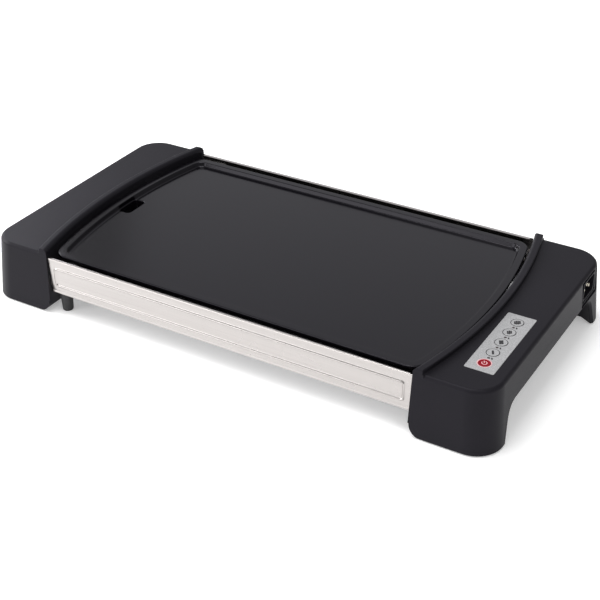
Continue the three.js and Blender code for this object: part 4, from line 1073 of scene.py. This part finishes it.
def cut_inlet_window(shell):
    """Opens the outer end for the inlet, with a shallow recess round it."""
    size = settings().housing
    inlet = settings().inlet
    low, high = inlet_window()
    width = high[0] - low[0]
    height = high[1] - low[1]
    centre = ((low[0] + high[0]) / 2, (low[1] + high[1]) / 2)
    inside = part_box("inlet_socket")[1][0] - 3 * size.wall
    outside = size.half_length + size.wall
    window = rounded_rectangle(width, height, inlet.corner / 2, centre)
    cut(shell, prism("window", window, inside, outside, along_x))
    beyond = inlet.recess_side
    recess = rounded_rectangle(width + 2 * beyond, height + beyond, beyond / 2, centre)
    cut(shell, prism("recess", recess, size.half_length - inlet.recess_depth, outside, along_leaning_end))


def inlet_window():
    """Lowest and highest Y and Z of the window that the inlet's frame stands in."""
    size = settings().housing
    low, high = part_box("inlet_socket")
    lip = settings().inlet.lip
    return (low[1] + lip, low[2] - size.fit), (high[1] - lip, high[2] + size.fit)


class PLANCHA_OT_base_covers(bpy.types.Operator):
    """Moulded covers that close the housings from below and line the arches"""
    bl_idname = "plancha.base_covers"
    bl_label = "Base covers"

    def execute(self, context):
        left = cut_screw_recesses(mirror_x(base_cover("left_cover")), "left")
        dress(left, "appliance", "housing", look("housing"), "left_base_cover")
        right = cut_screw_recesses(base_cover("right_cover"), "right")
        dress(right, "appliance", "housing", look("housing"), "right_base_cover")
        return {"FINISHED"}


# Cooking plate

def plate_ring(inset, z):
    """The plate's outline drawn in by inset: straight sides, bowed ends and rounded corners."""
    size = settings().plate
    side_y = half_of("cooking_plate") - inset
    radius = settings().housing.end_radius - inset
    corner = size.corner - size.inner_share * inset
    centre_y = side_y - corner
    centre_x = end_arc_x(radius - corner, centre_y)
    edge = math.atan2(centre_y, centre_x - arc_centre())
    quarter = arc((arc_centre(), 0), radius, 0, edge, steps=16)[:-1]
    quarter += arc((centre_x, centre_y), corner, edge, QUARTER, steps=10)
    rear = quarter + [(-x, y) for x, y in reversed(quarter)]
    front = [(x, -y) for x, y in reversed(rear[1:-1])]
    return [(x, y, z) for x, y in rear + front]


def plate_profile():
    """Inset and height of each ring, from the underside over the rim to the cooking surface."""
    size = settings().plate
    steps = settings().round_steps
    top = settings().housing.top - size.top_drop
    level = top - size.rim_depth
    under = level - size.thickness
    round_edge = size.rim_fillet
    back = size.undercut
    profile = arc((back + round_edge, under + round_edge), round_edge, 3 * QUARTER, 2 * QUARTER, steps)
    profile.append((back, top - size.lip_height - round_edge))
    profile.append((round_edge, top - size.lip_height))
    profile.append((0, top - size.lip_height + round_edge / 2))
    profile += arc((round_edge, top - round_edge), round_edge, 2 * QUARTER, QUARTER, steps)
    edge = round_edge + size.rim_top
    foot = edge + size.wall_run
    slope = size.wall_run / size.rim_depth
    soft = round_edge * RIM_SOFT_SHARE
    profile += bezier((edge - soft, top), (edge, top), (edge + soft * slope, top - soft), steps)
    soft = size.floor_fillet * FLOOR_SOFT_SHARE
    start = (foot - soft * slope, level + soft)
    profile += bezier(start, (foot, level), (foot + size.floor_fillet, level), steps)
    return profile


def drain_ring(margin, z):
    """The drain slot's outline at one height, grown by a margin."""
    size = settings().plate
    right = -end_arc_x(settings().housing.end_radius - size.drain_inset - size.drain_width, 0)
    centre = (right - size.drain_width / 2, 0)
    return [(x, y, z) for x, y in rounded_rectangle(
        size.drain_width + 2 * margin, size.drain_length + 2 * margin, size.drain_corner + margin, centre)]


def drain_hole(name):
    """The slot with a rounded upper edge."""
    size = settings().plate
    top = settings().housing.top - size.top_drop
    level = top - size.rim_depth
    low = level - size.thickness - size.spout_drop
    edge = size.drain_edge
    rings = [drain_ring(0, low - size.spout_wall), drain_ring(0, level - edge)]
    for turn in quarter_turns(1):
        rings.append(drain_ring(edge * (1 - math.cos(turn)), level - edge * (1 - math.sin(turn))))
    rings.append(drain_ring(edge, top + size.rim_depth))
    return loft(name, rings)


class PLANCHA_OT_cooking_plate(bpy.types.Operator):
    """Cast plate with its rim, drain slot, spout and feet"""
    bl_idname = "plancha.cooking_plate"
    bl_label = "Cooking plate"

    def execute(self, context):
        size = settings().plate
        body = loft("griddle_plate", [plate_ring(inset, z) for inset, z in plate_profile()])
        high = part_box("cooking_plate")[1]
        level = settings().housing.top - size.top_drop - size.rim_depth
        under = level - size.thickness
        root = under + size.thickness / 2
        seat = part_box("base_pan")[0][2] + settings().panel.sheet + settings().housing.fit
        profile = [(0, seat), (size.boss * BOSS_TIP_SHARE, seat),
                   (size.boss, seat + size.boss * BOSS_EDGE_SHARE), (size.boss, root), (0, root)]
        for sign_x in BOTH:
            for sign_y in BOTH:
                join(body, lathe("boss", profile, (sign_x * high[0] * PLATE_BOSS_SHARES[0],
                                                   sign_y * high[1] * PLATE_BOSS_SHARES[1])))
        join(body, loft("spout", [drain_ring(size.spout_wall, z) for z in (under - size.spout_drop, root)]))
        cut(body, drain_hole("drain"))
        dress(body, "appliance", "plate", look("plate"), "cooking_plate")
        return {"FINISHED"}


# Pressed sheet: panels and base pan

def rounded_distance(a, b, half_a, half_b, corner):
    """Distance from a point to the outline of a rounded rectangle centred on the origin."""
    over_a = abs(a) - half_a + corner
    over_b = abs(b) - half_b + corner
    outside = math.hypot(max(over_a, 0), max(over_b, 0))
    inside = min(max(over_a, over_b), 0)
    return abs(outside + inside - corner)


def swell(distance, width, rise):
    """Height of a rounded bead at a distance from its middle line."""
    if distance >= width:
        return 0
    return rise * (1 + math.cos(math.pi * distance / width)) / 2


def lines_near(places, reach, fine, low, high, coarse):
    """Grid lines from low to high: fine near each place and coarse elsewhere."""
    lines = {low, high}
    for place in places:
        steps = round(2 * reach / fine)
        lines.update(place - reach + fine * k for k in range(steps + 1))
    gaps = round((high - low) / coarse)
    for k in range(1, gaps):
        value = low + (high - low) * k / gaps
        if all(abs(value - place) > reach for place in places):
            lines.add(value)
    return sorted(value for value in lines if low <= value <= high)


def sheet_grid(name, columns, rows, place, thickness):
    """A sheet through a grid of points, thickened away from its outer side."""
    points = [place(a, row) for row in rows for a in columns]
    count = len(columns)
    faces = []
    for j in range(len(rows) - 1):
        for k in range(count - 1):
            a = j * count + k
            faces.append([a, a + 1, a + 1 + count, a + count])
    piece = new_piece(name, points, faces)
    thick = piece.modifiers.new("thick", "SOLIDIFY")
    thick.thickness = thickness
    thick.offset = -1
    thick.use_even_offset = True
    return settle(piece)


def panel_rows(low, high, size, flange):
    """Section of the panel from the inner edge of its lower flange to that of its upper flange.

    Each row is a point of the section: how far it lies behind the face, its height, and whether it is on
    the face.
    """
    steps = settings().round_steps
    rows = [(size.bottom_flange, low, False), (size.bend * BEND_RUN_SHARE, low, False)]
    lower_bend = arc((size.bend, low + size.bend), size.bend, 3 * QUARTER, 2 * QUARTER, steps)
    rows += [(behind, z, False) for behind, z in lower_bend]
    beads = (low + size.bottom_inset, high - size.top_inset)
    reach = size.bead_corner + size.bead_width
    levels = lines_near(beads, reach, size.bead_width / BEAD_STEPS, low + size.bend, high - size.bend,
                        PANEL_ROW_STEP)
    hem = low + size.hem_rise
    levels = sorted(set(levels) | {hem - size.bead_width / 3, hem, hem + size.bead_width / 3})
    rows += [(0, z, True) for z in levels[1:-1]]
    upper_bend = arc((size.bend, high - size.bend), size.bend, 2 * QUARTER, QUARTER, steps)
    rows += [(behind, z, False) for behind, z in upper_bend]
    rows.append((flange, high, False))
    return rows


def side_panel(name, node, sign):
    """A folded panel with its bead; sign is -1 at the front and 1 at the rear."""
    size = settings().panel
    low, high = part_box(node)
    half = high[0]
    face = low[1] if sign < 0 else high[1]
    face -= sign * size.bead_rise
    bottom = low[2]
    top = high[2] - (size.front_drop if sign < 0 else 0)
    flange = size.top_flange if sign < 0 else size.rear_flange
    middle = (bottom + size.bottom_inset + top - size.top_inset) / 2
    half_b = (top - bottom - size.top_inset - size.bottom_inset) / 2
    half_a = half - size.end_inset

    def place(x, row):
        behind, z, on_face = row
        out = 0
        if on_face:
            away = rounded_distance(x, z - middle, half_a, half_b, size.bead_corner)
            out = swell(away, size.bead_width, size.bead_rise)
            out -= swell(abs(z - bottom - size.hem_rise), size.bead_width / 3, size.sheet / 4)
            out -= size.low_lean * max(0, 1 - (z - bottom) / size.bottom_inset)
            out -= size.top_lean * max(0, 1 - (top - z) / size.top_inset)
        return (x, face + sign * (out - behind), z)

    columns = lines_near((-half_a, half_a), size.bead_corner + size.bead_width, size.bead_width / BEAD_STEPS,
                         -half, half, PANEL_COLUMN_STEP)
    rows = panel_rows(bottom, top, size, flange)
    if sign > 0:
        columns = columns[::-1]
    body = sheet_grid(name, columns, rows, place, size.sheet)
    face_out(body)
    for side in BOTH:
        cut(body, notch_box(side, half, face, sign, top, flange))
        near = face - sign * size.sheet / 2
        far = face - sign * size.end_flange
        edge = side * (half - size.sheet)
        turned = box("flange", (min(side * half, edge), min(near, far), bottom + 2 * size.sheet),
                     (max(side * half, edge), max(near, far), top - size.top_inset))
        join(body, turned)
    return body


def notch_box(side, half, face, sign, top, flange):
    """Cuts the corner off a panel's top flange."""
    size = settings().panel
    outer = side * (half + size.sheet)
    inner = side * (half - size.notch)
    near = face - sign * size.sheet * NOTCH_SHARE
    far = face - sign * (flange + size.sheet)
    return box("notch", (min(outer, inner), min(near, far), top - size.bend * 2),
               (max(outer, inner), max(near, far), top + size.sheet))


class PLANCHA_OT_panels(bpy.types.Operator):
    """Brushed steel panels along the front and rear, with a pressed bead and folded edges"""
    bl_idname = "plancha.panels"
    bl_label = "Steel panels"

    def execute(self, context):
        for node, sign in (("front_panel", -1), ("rear_panel", 1)):
            panel = side_panel(node.replace("panel", "sheet"), node, sign)
            dress(panel, "appliance", "steel", look("steel"), node)
        return {"FINISHED"}


def stadium(length_a, width_b, centre):
    """A long hole's outline: straight sides and round ends."""
    return rounded_rectangle(length_a, width_b, width_b / 2, centre, steps=8)


def pan_form(name, inset, top):
    """The pan's outer form with a rounded lower edge, drawn in by an inset."""
    size = settings().panel
    low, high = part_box("base_pan")
    centre = ((low[0] + high[0]) / 2, 0)
    floor = low[2] + inset
    edge = size.pan_round - inset * PAN_INNER_SHARE
    rings = []
    for turn in quarter_turns():
        draw = inset + edge * (1 - math.sin(turn))
        outline = rounded_rectangle(high[0] - low[0] - 2 * draw, high[1] - low[1] - 2 * draw,
                                    size.pan_round * 2 - draw * PAN_CORNER_SHARE, centre)
        rings.append([(x, y, floor + edge * (1 - math.cos(turn))) for x, y in outline])
    rings.append([(x, y, top) for x, y, z in rings[-1]])
    return loft(name, rings)


def pan_rib(span, middle, low, draw):
    """One pillow-shaped rib on a floor at low, with its sides and ends drawn in."""
    size = settings().panel

    def ring(inset, z):
        wide = 2 * (size.rib_width - draw * RIB_DRAW_SHARE - inset)
        return [(x, y, z) for x, y in stadium(span - 2 * (inset + draw), wide, middle)]

    rings = [ring(0, low - size.rib_rise)]
    for turn in quarter_turns():
        inset = size.rib_rise * PILLOW_RUN_SHARE * (1 - math.cos(turn))
        rings.append(ring(inset, low + size.rib_rise * math.sin(turn)))
    return loft("rib", rings)


class PLANCHA_OT_base_pan(bpy.types.Operator):
    """Pressed pan under the heater, with ribs and vents in its floor"""
    bl_idname = "plancha.base_pan"
    bl_label = "Base pan"

    def execute(self, context):
        size = settings().panel
        low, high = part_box("base_pan")
        middle_x = (low[0] + high[0]) / 2
        body = pan_form("pressed_pan", 0, high[2])
        cut(body, pan_form("inside", size.sheet, high[2] + size.sheet))
        span = (high[0] - low[0]) * RIB_LENGTH_SHARE
        for place_share in RIB_PLACE_SHARES:
            for sign in BOTH:
                middle = (middle_x, sign * high[1] * place_share)
                join(body, pan_rib(span, middle, low[2] + size.sheet, 0))
                cut(body, pan_rib(span, middle, low[2], size.sheet))
        for side in BOTH:
            for k in VENTS:
                middle = (middle_x + side * (span / 2 + size.vent_length), k * size.vent_pitch)
                slot = stadium(size.vent_length, size.vent_width, middle)
                cut(body, prism("vent", slot, low[2] - size.sheet, low[2] + 2 * size.sheet))
        dress(body, "appliance", "pan", look("pan"), "base_pan")
        return {"FINISHED"}


# Keypad

def ring_mark(name, centre, inner, outer, low, high):
    """A flat printed ring."""
    body = prism(name, arc(centre, outer, 0, FULL_TURN, KEY_STEPS)[:-1], low, high)
    hole = arc(centre, inner, 0, FULL_TURN, KEY_STEPS)[:-1]
    depth = high - low
    return cut(body, prism("hole", hole, low - depth, high + depth))


def open_ring_mark(name, centre, inner, outer, low, high, gap):
    """A flat printed ring that a gap, given as an angle, leaves open toward the top of the print."""
    turn = settings().keypad.print_turn + QUARTER
    start = turn + gap / 2
    stop = turn + FULL_TURN - gap / 2
    outline = arc(centre, outer, start, stop, KEY_STEPS) + arc(centre, inner, stop, start, KEY_STEPS)
    return prism(name, outline, low, high)


def bar_mark(name, centre, off, width, height, low, high):
    """A printed bar with round ends, drawn along the sheet's turned and slanted print directions."""
    keypad = settings().keypad
    across = keypad.print_turn
    along = keypad.print_turn + QUARTER + keypad.print_slant
    outline = [(a + off[0], b + off[1])
               for a, b in rounded_rectangle(width, height, min(width, height) * BAR_END_SHARE, (0, 0))]
    outline = [(centre[0] + a * math.cos(across) + b * math.cos(along),
                centre[1] + a * math.sin(across) + b * math.sin(along)) for a, b in outline]
    return prism(name, outline, low, high)


def face_of_key(node):
    """Height of the floor of a key's hollow face."""
    keypad = settings().keypad
    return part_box(node)[1][2] - keypad.key_drop - keypad.dish


def key_cap(name, node):
    """A turned key with a shallow hollow in its face, its collar and its stem."""
    keypad = settings().keypad
    steps = settings().round_steps
    low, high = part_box(node)
    size = settings().housing
    collar_top = size.top - size.wall - size.fit
    collar_low = collar_top - keypad.flange_height
    tip_top = low[2] + keypad.plunger_length
    edge = keypad.key_fillet
    face = high[2] - keypad.key_drop
    flat = keypad.key * KEY_FLAT_SHARE
    profile = [(0, low[2]), (keypad.plunger, low[2]), (keypad.plunger, tip_top), (keypad.stem, tip_top),
               (keypad.stem, collar_low), (keypad.flange, collar_low), (keypad.flange, collar_top),
               (keypad.key, collar_top)]
    profile += arc((keypad.key - edge, face - edge), edge, 0, QUARTER, steps)
    for k in range(1, steps + 1):
        t = k / steps
        ease = t * t * (3 - 2 * t)
        profile.append((keypad.key - edge - (keypad.key - edge - flat) * t, face - keypad.dish * ease))
    profile.append((0, face - keypad.dish))
    return lathe(name, profile, middle_of(node), KEY_STEPS)


def level_mark(name, node, count):
    """Bars printed on a level key, one more for each level, joined by a line below their middle."""
    keypad = settings().keypad
    centre = middle_of(node)
    low = face_of_key(node)
    high = low + keypad.ink
    body = None
    pitch = keypad.bar_pitch * (PAIR_PITCH_SHARE if count == 2 else 1)
    for k in range(count):
        place = k - (count - 1) / 2
        outer = count > 2 and abs(place) > count / 2 - 1
        height = keypad.bar_length * (SIDE_BAR_SHARE if outer else 1)
        width = keypad.bar_width * (1 if count > 2 else LONE_BAR_SHARE)
        bar = bar_mark(name, centre, (place * pitch, 0), width, height, low, high)
        body = bar if body is None else join(body, bar)
    if count > 1:
        below = -keypad.bar_length * JOINING_LINE_SHARE
        join(body, bar_mark("line", centre, (0, below), (count - 1) * pitch, keypad.bar_width, low, high))
    return body


class PLANCHA_OT_keypad(bpy.types.Operator):
    """Printed silver sheet with its rings and ticks, and the four lamps in it"""
    bl_idname = "plancha.keypad"
    bl_label = "Keypad"

    def execute(self, context):
        keypad = settings().keypad
        fit = settings().housing.fit
        low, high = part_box("keypad_overlay")
        centre = middle_of("keypad_overlay")
        sheet = prism("silver_sheet",
                      rounded_rectangle(high[0] - low[0], high[1] - low[1], keypad.corner, centre),
                      low[2], high[2])
        holes = [("power_button", keypad.key, KEY_STEPS)]
        holes += [(f"level_button_{k}", keypad.key, KEY_STEPS) for k in LEVELS]
        holes += [(f"indicator_{k}", keypad.lamp, LAMP_STEPS) for k in LEVELS]
        for node, radius, steps in holes:
            cut(sheet, rod("hole", middle_of(node), radius + fit, low[2] - fit, high[2] + fit, steps))
        bevel(sheet, keypad.sheet_edge, steps=2)
        dress(sheet, "appliance", "keypad", look("keypad"), "keypad_overlay")
        self.print_marks(high[2])
        self.lamps()
        return {"FINISHED"}

    def print_marks(self, top):
        """A ring and a tick for each level key, and a pale ring for the power key."""
        keypad = settings().keypad
        inner = keypad.key + keypad.ring_gap
        high = top + keypad.ink
        for k in LEVELS:
            ring = ring_mark(f"key_ring_{k}", middle_of(f"level_button_{k}"), inner,
                             inner + keypad.ring_width, top, high)
            lamp = middle_of(f"indicator_{k}")
            join(ring, bar_mark("tick", (lamp[0] + keypad.tick_shift, lamp[1]), (0, 0), keypad.bar_width,
                                2 * keypad.bar_width, top, high))
            dress(ring, "appliance", "key", look("ink"))
        halo = ring_mark("power_halo", middle_of("power_button"), inner, inner + keypad.halo, top, high)
        dress(halo, "appliance", "key", look("mark"))

    def lamps(self):
        """The four lamps, each with a wider body under the sheet."""
        keypad = settings().keypad
        steps = settings().round_steps
        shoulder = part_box("keypad_overlay")[0][2] - settings().housing.fit
        edge = keypad.lamp * LAMP_EDGE_SHARE
        for k in LEVELS:
            node = f"indicator_{k}"
            low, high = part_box(node)
            profile = [(0, low[2]), (keypad.lamp_body, low[2]), (keypad.lamp_body, shoulder),
                       (keypad.lamp, shoulder)]
            profile += arc((keypad.lamp - edge, high[2] - edge), edge, 0, QUARTER, steps)
            profile.append((0, high[2]))
            lamp = lathe(f"lamp_{k}", profile, middle_of(node), LAMP_STEPS)
            dress(lamp, "appliance", "lens", look("lens"), node)


class PLANCHA_OT_keys(bpy.types.Operator):
    """Four level keys with their bars and the red power key with its mark"""
    bl_idname = "plancha.keys"
    bl_label = "Keys"

    def execute(self, context):
        keypad = settings().keypad
        for k in LEVELS:
            node = f"level_button_{k}"
            body = f"level_key_{k}"
            dress(key_cap(f"level_cap_{k}", node), body, "key", look("keypad"), node)
            dress(level_mark(f"level_mark_{k}", node, k), body, "key", look("ink"))
        cap = key_cap("power_cap", "power_button")
        dress(cap, "power_key", "power", look("power"), "power_button")
        centre = middle_of("power_button")
        low = face_of_key("power_button")
        high = low + keypad.ink
        symbol = open_ring_mark("power_mark", centre, keypad.symbol - keypad.symbol_width, keypad.symbol,
                                low, high, QUARTER * MARK_GAP_SHARE)
        stroke = keypad.symbol * STROKE_SHARE
        join(symbol, bar_mark("stroke", centre, (0, stroke), keypad.symbol_width, 2 * stroke, low, high))
        dress(symbol, "power_key", "power", look("mark"))
        return {"FINISHED"}


# Inlet

def rectangle_ring(width, height, corner, centre, x, inset=0):
    """A rounded rectangle that stands across X, drawn in by an inset."""
    outline = rounded_rectangle(width - 2 * inset, height - 2 * inset, max(corner - inset, corner / 4),
                                centre)
    return [(x, y, z) for y, z in outline]


class PLANCHA_OT_inlet(bpy.types.Operator):
    """Inlet socket with a rounded frame, a lip behind the wall and a deep well"""
    bl_idname = "plancha.inlet"
    bl_label = "Inlet"

    def execute(self, context):
        size = settings().inlet
        fit = settings().housing.fit
        low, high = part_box("inlet_socket")
        centre = ((low[1] + high[1]) / 2, (low[2] + high[2]) / 2)
        face = high[0] - size.frame_inset
        lip_back = face - size.wall
        wide = high[1] - low[1] - 2 * size.lip - 2 * fit - 2 * size.moat
        tall = high[2] - low[2]
        edge = size.frame_edge

        def frame_ring(x, inset=0):
            return rectangle_ring(wide, tall, size.corner / 2, centre, x, inset)

        def well_ring(x, inset=0):
            return rectangle_ring(size.width, size.height, size.corner, centre, x, inset)

        rings = [frame_ring(lip_back), frame_ring(face - edge)]
        for turn in quarter_turns(1):
            rings.append(frame_ring(face - edge * (1 - math.sin(turn)), edge * (1 - math.cos(turn))))
        body = loft("inlet_body", rings)
        lip = rounded_rectangle(high[1] - low[1], tall, size.corner / 2, centre)
        join(body, prism("lip", lip, lip_back, lip_back + size.lip_sheet, along_x))
        bucket = rounded_rectangle(size.width + 2 * size.lip, tall, size.corner, centre)
        join(body, prism("bucket", bucket, low[0], lip_back + fit, along_x))
        rings = [well_ring(face - size.depth), well_ring(face - edge)]
        for turn in quarter_turns(1):
            rings.append(well_ring(face - edge * (1 - math.sin(turn)), -edge * (1 - math.cos(turn))))
        rings.append(well_ring(face + size.wall, -edge))
        cut(body, loft("well", rings))
        for name in ("live", "neutral", "earth"):
            pin_low, pin_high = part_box(f"inlet_pin_{name}")
            cut(body, box("slot", (low[0] - fit, pin_low[1] - fit, pin_low[2] - fit),
                          (face - size.depth + fit, pin_high[1] + fit, pin_high[2] + fit)))
            self.pin(name, pin_low, pin_high)
        dress(body, "appliance", "housing", look("housing"), "inlet_socket")
        return {"FINISHED"}

    def pin(self, name, low, high):
        """A flat blade with a rounded nose."""
        blade = box(f"inlet_blade_{name}", low, high)
        bevel(blade, (high[1] - low[1]) * PIN_NOSE_SHARE, steps=4)
        dress(blade, "appliance", "brass", look("brass"), f"inlet_pin_{name}")


# Drip tray

class PLANCHA_OT_drip_tray(bpy.types.Operator):
    """Moulded drip tray with rounded walls, hanging lips and a turned grip"""
    bl_idname = "plancha.drip_tray"
    bl_label = "Drip tray"

    def execute(self, context):
        size = settings().tray
        low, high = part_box("drip_tray")
        far = low[0] + size.grip_lip + size.grip_wall
        near = high[0]
        half = high[1] - size.lip
        floor = low[2]
        top = floor + size.depth
        centre = ((far + near) / 2, 0)

        def ring(z, inset):
            outline = rounded_rectangle(near - far - 2 * inset, 2 * (half - inset), size.corner, centre)
            return [(x, y, z) for x, y in outline]

        def skin(name, base, wall, end):
            edge = size.floor_round
            rings = []
            for turn in quarter_turns():
                rings.append(ring(base + edge * (1 - math.cos(turn)),
                                  size.draft + wall + edge * (1 - math.sin(turn))))
            rings.append(ring(end, wall))
            return loft(name, rings)

        body = skin("moulded_tray", floor, 0, top)
        lip = box("lip", (far + size.corner, -half - size.lip, top - size.lip_sheet),
                  (near - size.corner, half + size.lip, top))
        join(body, bevel(lip, size.lip_sheet * TRAY_LIP_EDGE_SHARE, steps=3))
        grip = box("grip", (far - size.grip_wall, -half, floor + size.depth / 2),
                   (far + size.wall, half, high[2]))
        join(body, bevel(grip, size.grip_edge, steps=4))
        turned = box("turned", (low[0], -half / 2, high[2] - size.lip_sheet),
                     (far, half / 2, high[2]))
        join(body, bevel(turned, size.lip_sheet * TRAY_TURN_EDGE_SHARE, steps=4))
        cut(body, skin("inside", floor + size.wall, size.wall, top + size.wall))
        dress(body, "tray", "housing", look("housing"), "drip_tray")
        return {"FINISHED"}


# Feet and screws

def rubber_foot(name, node):
    """A pad with a soft edge and its plug in the base cover."""
    fixing = settings().fixing
    low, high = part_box(node)
    radius = (high[0] - low[0]) / 2
    shoulder = settings().housing.ground_gap - settings().housing.fit
    plug = radius * PAD_PLUG_SHARE
    edge = fixing.foot_fillet
    profile = [(0, low[2])] + arc((radius - edge, low[2] + edge), edge, -QUARTER, 0, steps=4)
    profile += [(radius, shoulder), (plug, shoulder), (plug, high[2]), (0, high[2])]
    return lathe(name, profile, middle_of(node))


def stub_foot(name, node):
    """A tapered stub under a panel, rounded at its tip."""
    low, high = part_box(node)
    radius = settings().fixing.stub
    tip = radius * STUB_TIP_SHARE
    edge = settings().fixing.stub_fillet
    top_edge = edge / 3
    profile = [(0, low[2])] + arc((tip - edge, low[2] + edge), edge, -QUARTER, 0, steps=8)
    profile += arc((radius - top_edge, high[2] - top_edge), top_edge, 0, QUARTER, steps=5)
    profile.append((0, high[2]))
    return lathe(name, profile, middle_of(node))


def screw(name, node):
    """A pan-head screw with a cross; it points up, with its head below."""
    fixing = settings().fixing
    low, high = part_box(node)
    radius = (high[0] - low[0]) / 2
    edge = fixing.head_round
    shoulder = low[2] + SCREW_HEAD_SHARE * radius
    shank = radius * SCREW_SHANK_SHARE
    profile = [(0, low[2])] + arc((radius - edge, low[2] + edge), edge, -QUARTER, 0, steps=6)
    profile += [(radius, shoulder), (shank, shoulder), (shank, high[2] - shank), (shank / 3, high[2]),
                (0, high[2])]
    centre = middle_of(node)
    body = lathe(name, profile, centre, ROD_STEPS)
    long = fixing.cross_length / 2
    short = fixing.cross_width / 2
    for x, y in ((long, short), (short, long)):
        cut(body, box("cross", (centre[0] - x, centre[1] - y, low[2] - fixing.cross_depth),
                      (centre[0] + x, centre[1] + y, low[2] + fixing.cross_depth)))
    return body


class PLANCHA_OT_feet_and_screws(bpy.types.Operator):
    """Rubber pads and stub feet, and the screws of the base covers"""
    bl_idname = "plancha.feet_and_screws"
    bl_label = "Feet and screws"

    def execute(self, context):
        for side in SIDES:
            for end in ENDS:
                node = f"foot_pad_{side}_{end}"
                dress(rubber_foot(f"pad_{side}_{end}", node), "appliance", "rubber", look("rubber"), node)
                node = f"cover_screw_{side}_{end}"
                dress(screw(f"screw_{side}_{end}", node), "appliance", "screw", look("screw"), node)
        for end in ENDS:
            node = f"stub_foot_{end}"
            dress(stub_foot(f"stub_{end}", node), "appliance", "rubber", look("rubber"), node)
        return {"FINISHED"}


# Studio

def area_light(name, place, size, watts, tone):
    """A square soft light that faces the object."""
    data = bpy.data.lights.new(name, "AREA")
    data.size = size
    data.energy = watts
    data.color = tone
    light = bpy.data.objects.new(name, data)
    light.location = place
    light.rotation_euler = (-light.location).to_track_quat("-Z", "Y").to_euler()
    bpy.context.scene.collection.objects.link(light)


def studio_floor(size, glow):
    """A square white floor that gives off a little light."""
    half = size / 2
    corners = [(-half, -half, 0), (half, -half, 0), (half, half, 0), (-half, half, 0)]
    floor = new_piece("studio_floor", corners, [range(len(corners))])
    finish = Finish("studio_floor")
    finish.vary(settings().finish.floor, finish.noise(scale=3), spread=0.004)
    finish.set(Roughness=0.7, Specular_IOR_Level=0.2, Emission_Color=(*WHITE, 1), Emission_Strength=glow)
    floor.data.materials.append(finish.material)
    return floor


def photo_camera(stage):
    """The camera at the photograph's place, from its angles, distance and small shifts."""
    turn = stage.azimuth
    lift = stage.elevation
    roll = stage.roll
    right = Vector((math.cos(turn), math.sin(turn), 0))
    back = Vector((math.sin(turn) * math.cos(lift), -math.cos(turn) * math.cos(lift), math.sin(lift)))
    up = back.cross(right)
    level = right * math.cos(roll) + up * math.sin(roll)
    upright = up * math.cos(roll) - right * math.sin(roll)
    data = bpy.data.cameras.new("photo_camera")
    data.lens = stage.lens
    data.clip_start = CLIP_NEAR
    data.clip_end = CLIP_FAR
    camera = bpy.data.objects.new("photo_camera", data)
    turned = Matrix((level, upright, back)).transposed().to_4x4()
    place = level * stage.shift_right + upright * stage.shift_up + back * stage.distance
    camera.matrix_world = Matrix.Translation(place) @ turned
    bpy.context.scene.collection.objects.link(camera)
    bpy.context.scene.camera = camera


class PLANCHA_OT_studio(bpy.types.Operator):
    """White floor, soft lights and the camera at the photograph's viewing angle"""
    bl_idname = "plancha.studio"
    bl_label = "Studio"

    def execute(self, context):
        stage = settings().stage
        studio_floor(stage.floor_size, stage.glow)
        photo_camera(stage)
        for name in ("top", "left", "right", "front", "corner", "back"):
            tone = stage.cool if name in ("corner", "back") else WHITE
            area_light(f"{name}_light", getattr(stage, f"{name}_place"), getattr(stage, f"{name}_size"),
                       getattr(stage, f"{name}_power"), tone)
        world = bpy.data.worlds.new("studio_air")
        world.use_nodes = True
        sky = world.node_tree.nodes["Background"]
        sky.inputs["Color"].default_value = (*WHITE, 1)
        sky.inputs["Strength"].default_value = stage.sky
        context.scene.world = world
        context.scene.view_settings.view_transform = "Standard"
        return {"FINISHED"}


# Inner parts

class PLANCHA_OT_inner_parts(bpy.types.Operator):
    """Finishes of the heater, boards, leads and other pieces that keep their CAD shape"""
    bl_idname = "plancha.inner_parts"
    bl_label = "Inner parts"

    def execute(self, context):
        for subpart in frame["record"]["subparts"]:
            node = frame["nodes"][subpart["node"]]
            slot = subpart["material_slot"]
            node.data.materials.clear()
            node.data.materials.append(look("keypad" if slot == "key" else slot))
        return {"FINISHED"}


# Panel in the sidebar, and registration

class PLANCHA_PT_panel(bpy.types.Panel):
    bl_label = "Plancha"
    bl_space_type = "VIEW_3D"
    bl_region_type = "UI"
    bl_category = "Plancha"

    def draw(self, context):
        for operator in OPERATORS:
            self.layout.operator(operator.bl_idname)


OPERATORS = (
    PLANCHA_OT_studio,
    PLANCHA_OT_inner_parts,
    PLANCHA_OT_housings,
    PLANCHA_OT_base_covers,
    PLANCHA_OT_cooking_plate,
    PLANCHA_OT_panels,
    PLANCHA_OT_base_pan,
    PLANCHA_OT_keypad,
    PLANCHA_OT_keys,
    PLANCHA_OT_inlet,
    PLANCHA_OT_drip_tray,
    PLANCHA_OT_feet_and_screws,
)

GROUPS = (HousingSizes, PlateSizes, PanelSizes, KeypadSizes, FixingSizes, InletSizes, TraySizes, Finishes,
          StageSettings, PlanchaSettings)


def register():
    for kind in GROUPS + OPERATORS + (PLANCHA_PT_panel,):
        bpy.utils.register_class(kind)
    bpy.types.Scene.plancha = PointerProperty(type=PlanchaSettings)


def unregister():
    del bpy.types.Scene.plancha
    for kind in reversed(GROUPS + OPERATORS + (PLANCHA_PT_panel,)):
        bpy.utils.unregister_class(kind)


def main():
    register()
    bpy.ops.plancha.studio()
    bpy.ops.plancha.inner_parts()
    bpy.ops.plancha.housings()
    bpy.ops.plancha.base_covers()
    bpy.ops.plancha.cooking_plate()
    bpy.ops.plancha.panels()
    bpy.ops.plancha.base_pan()
    bpy.ops.plancha.keypad()
    bpy.ops.plancha.keys()
    bpy.ops.plancha.inlet()
    bpy.ops.plancha.drip_tray()
    bpy.ops.plancha.feet_and_screws()


if __name__ == "__main__":
    main()
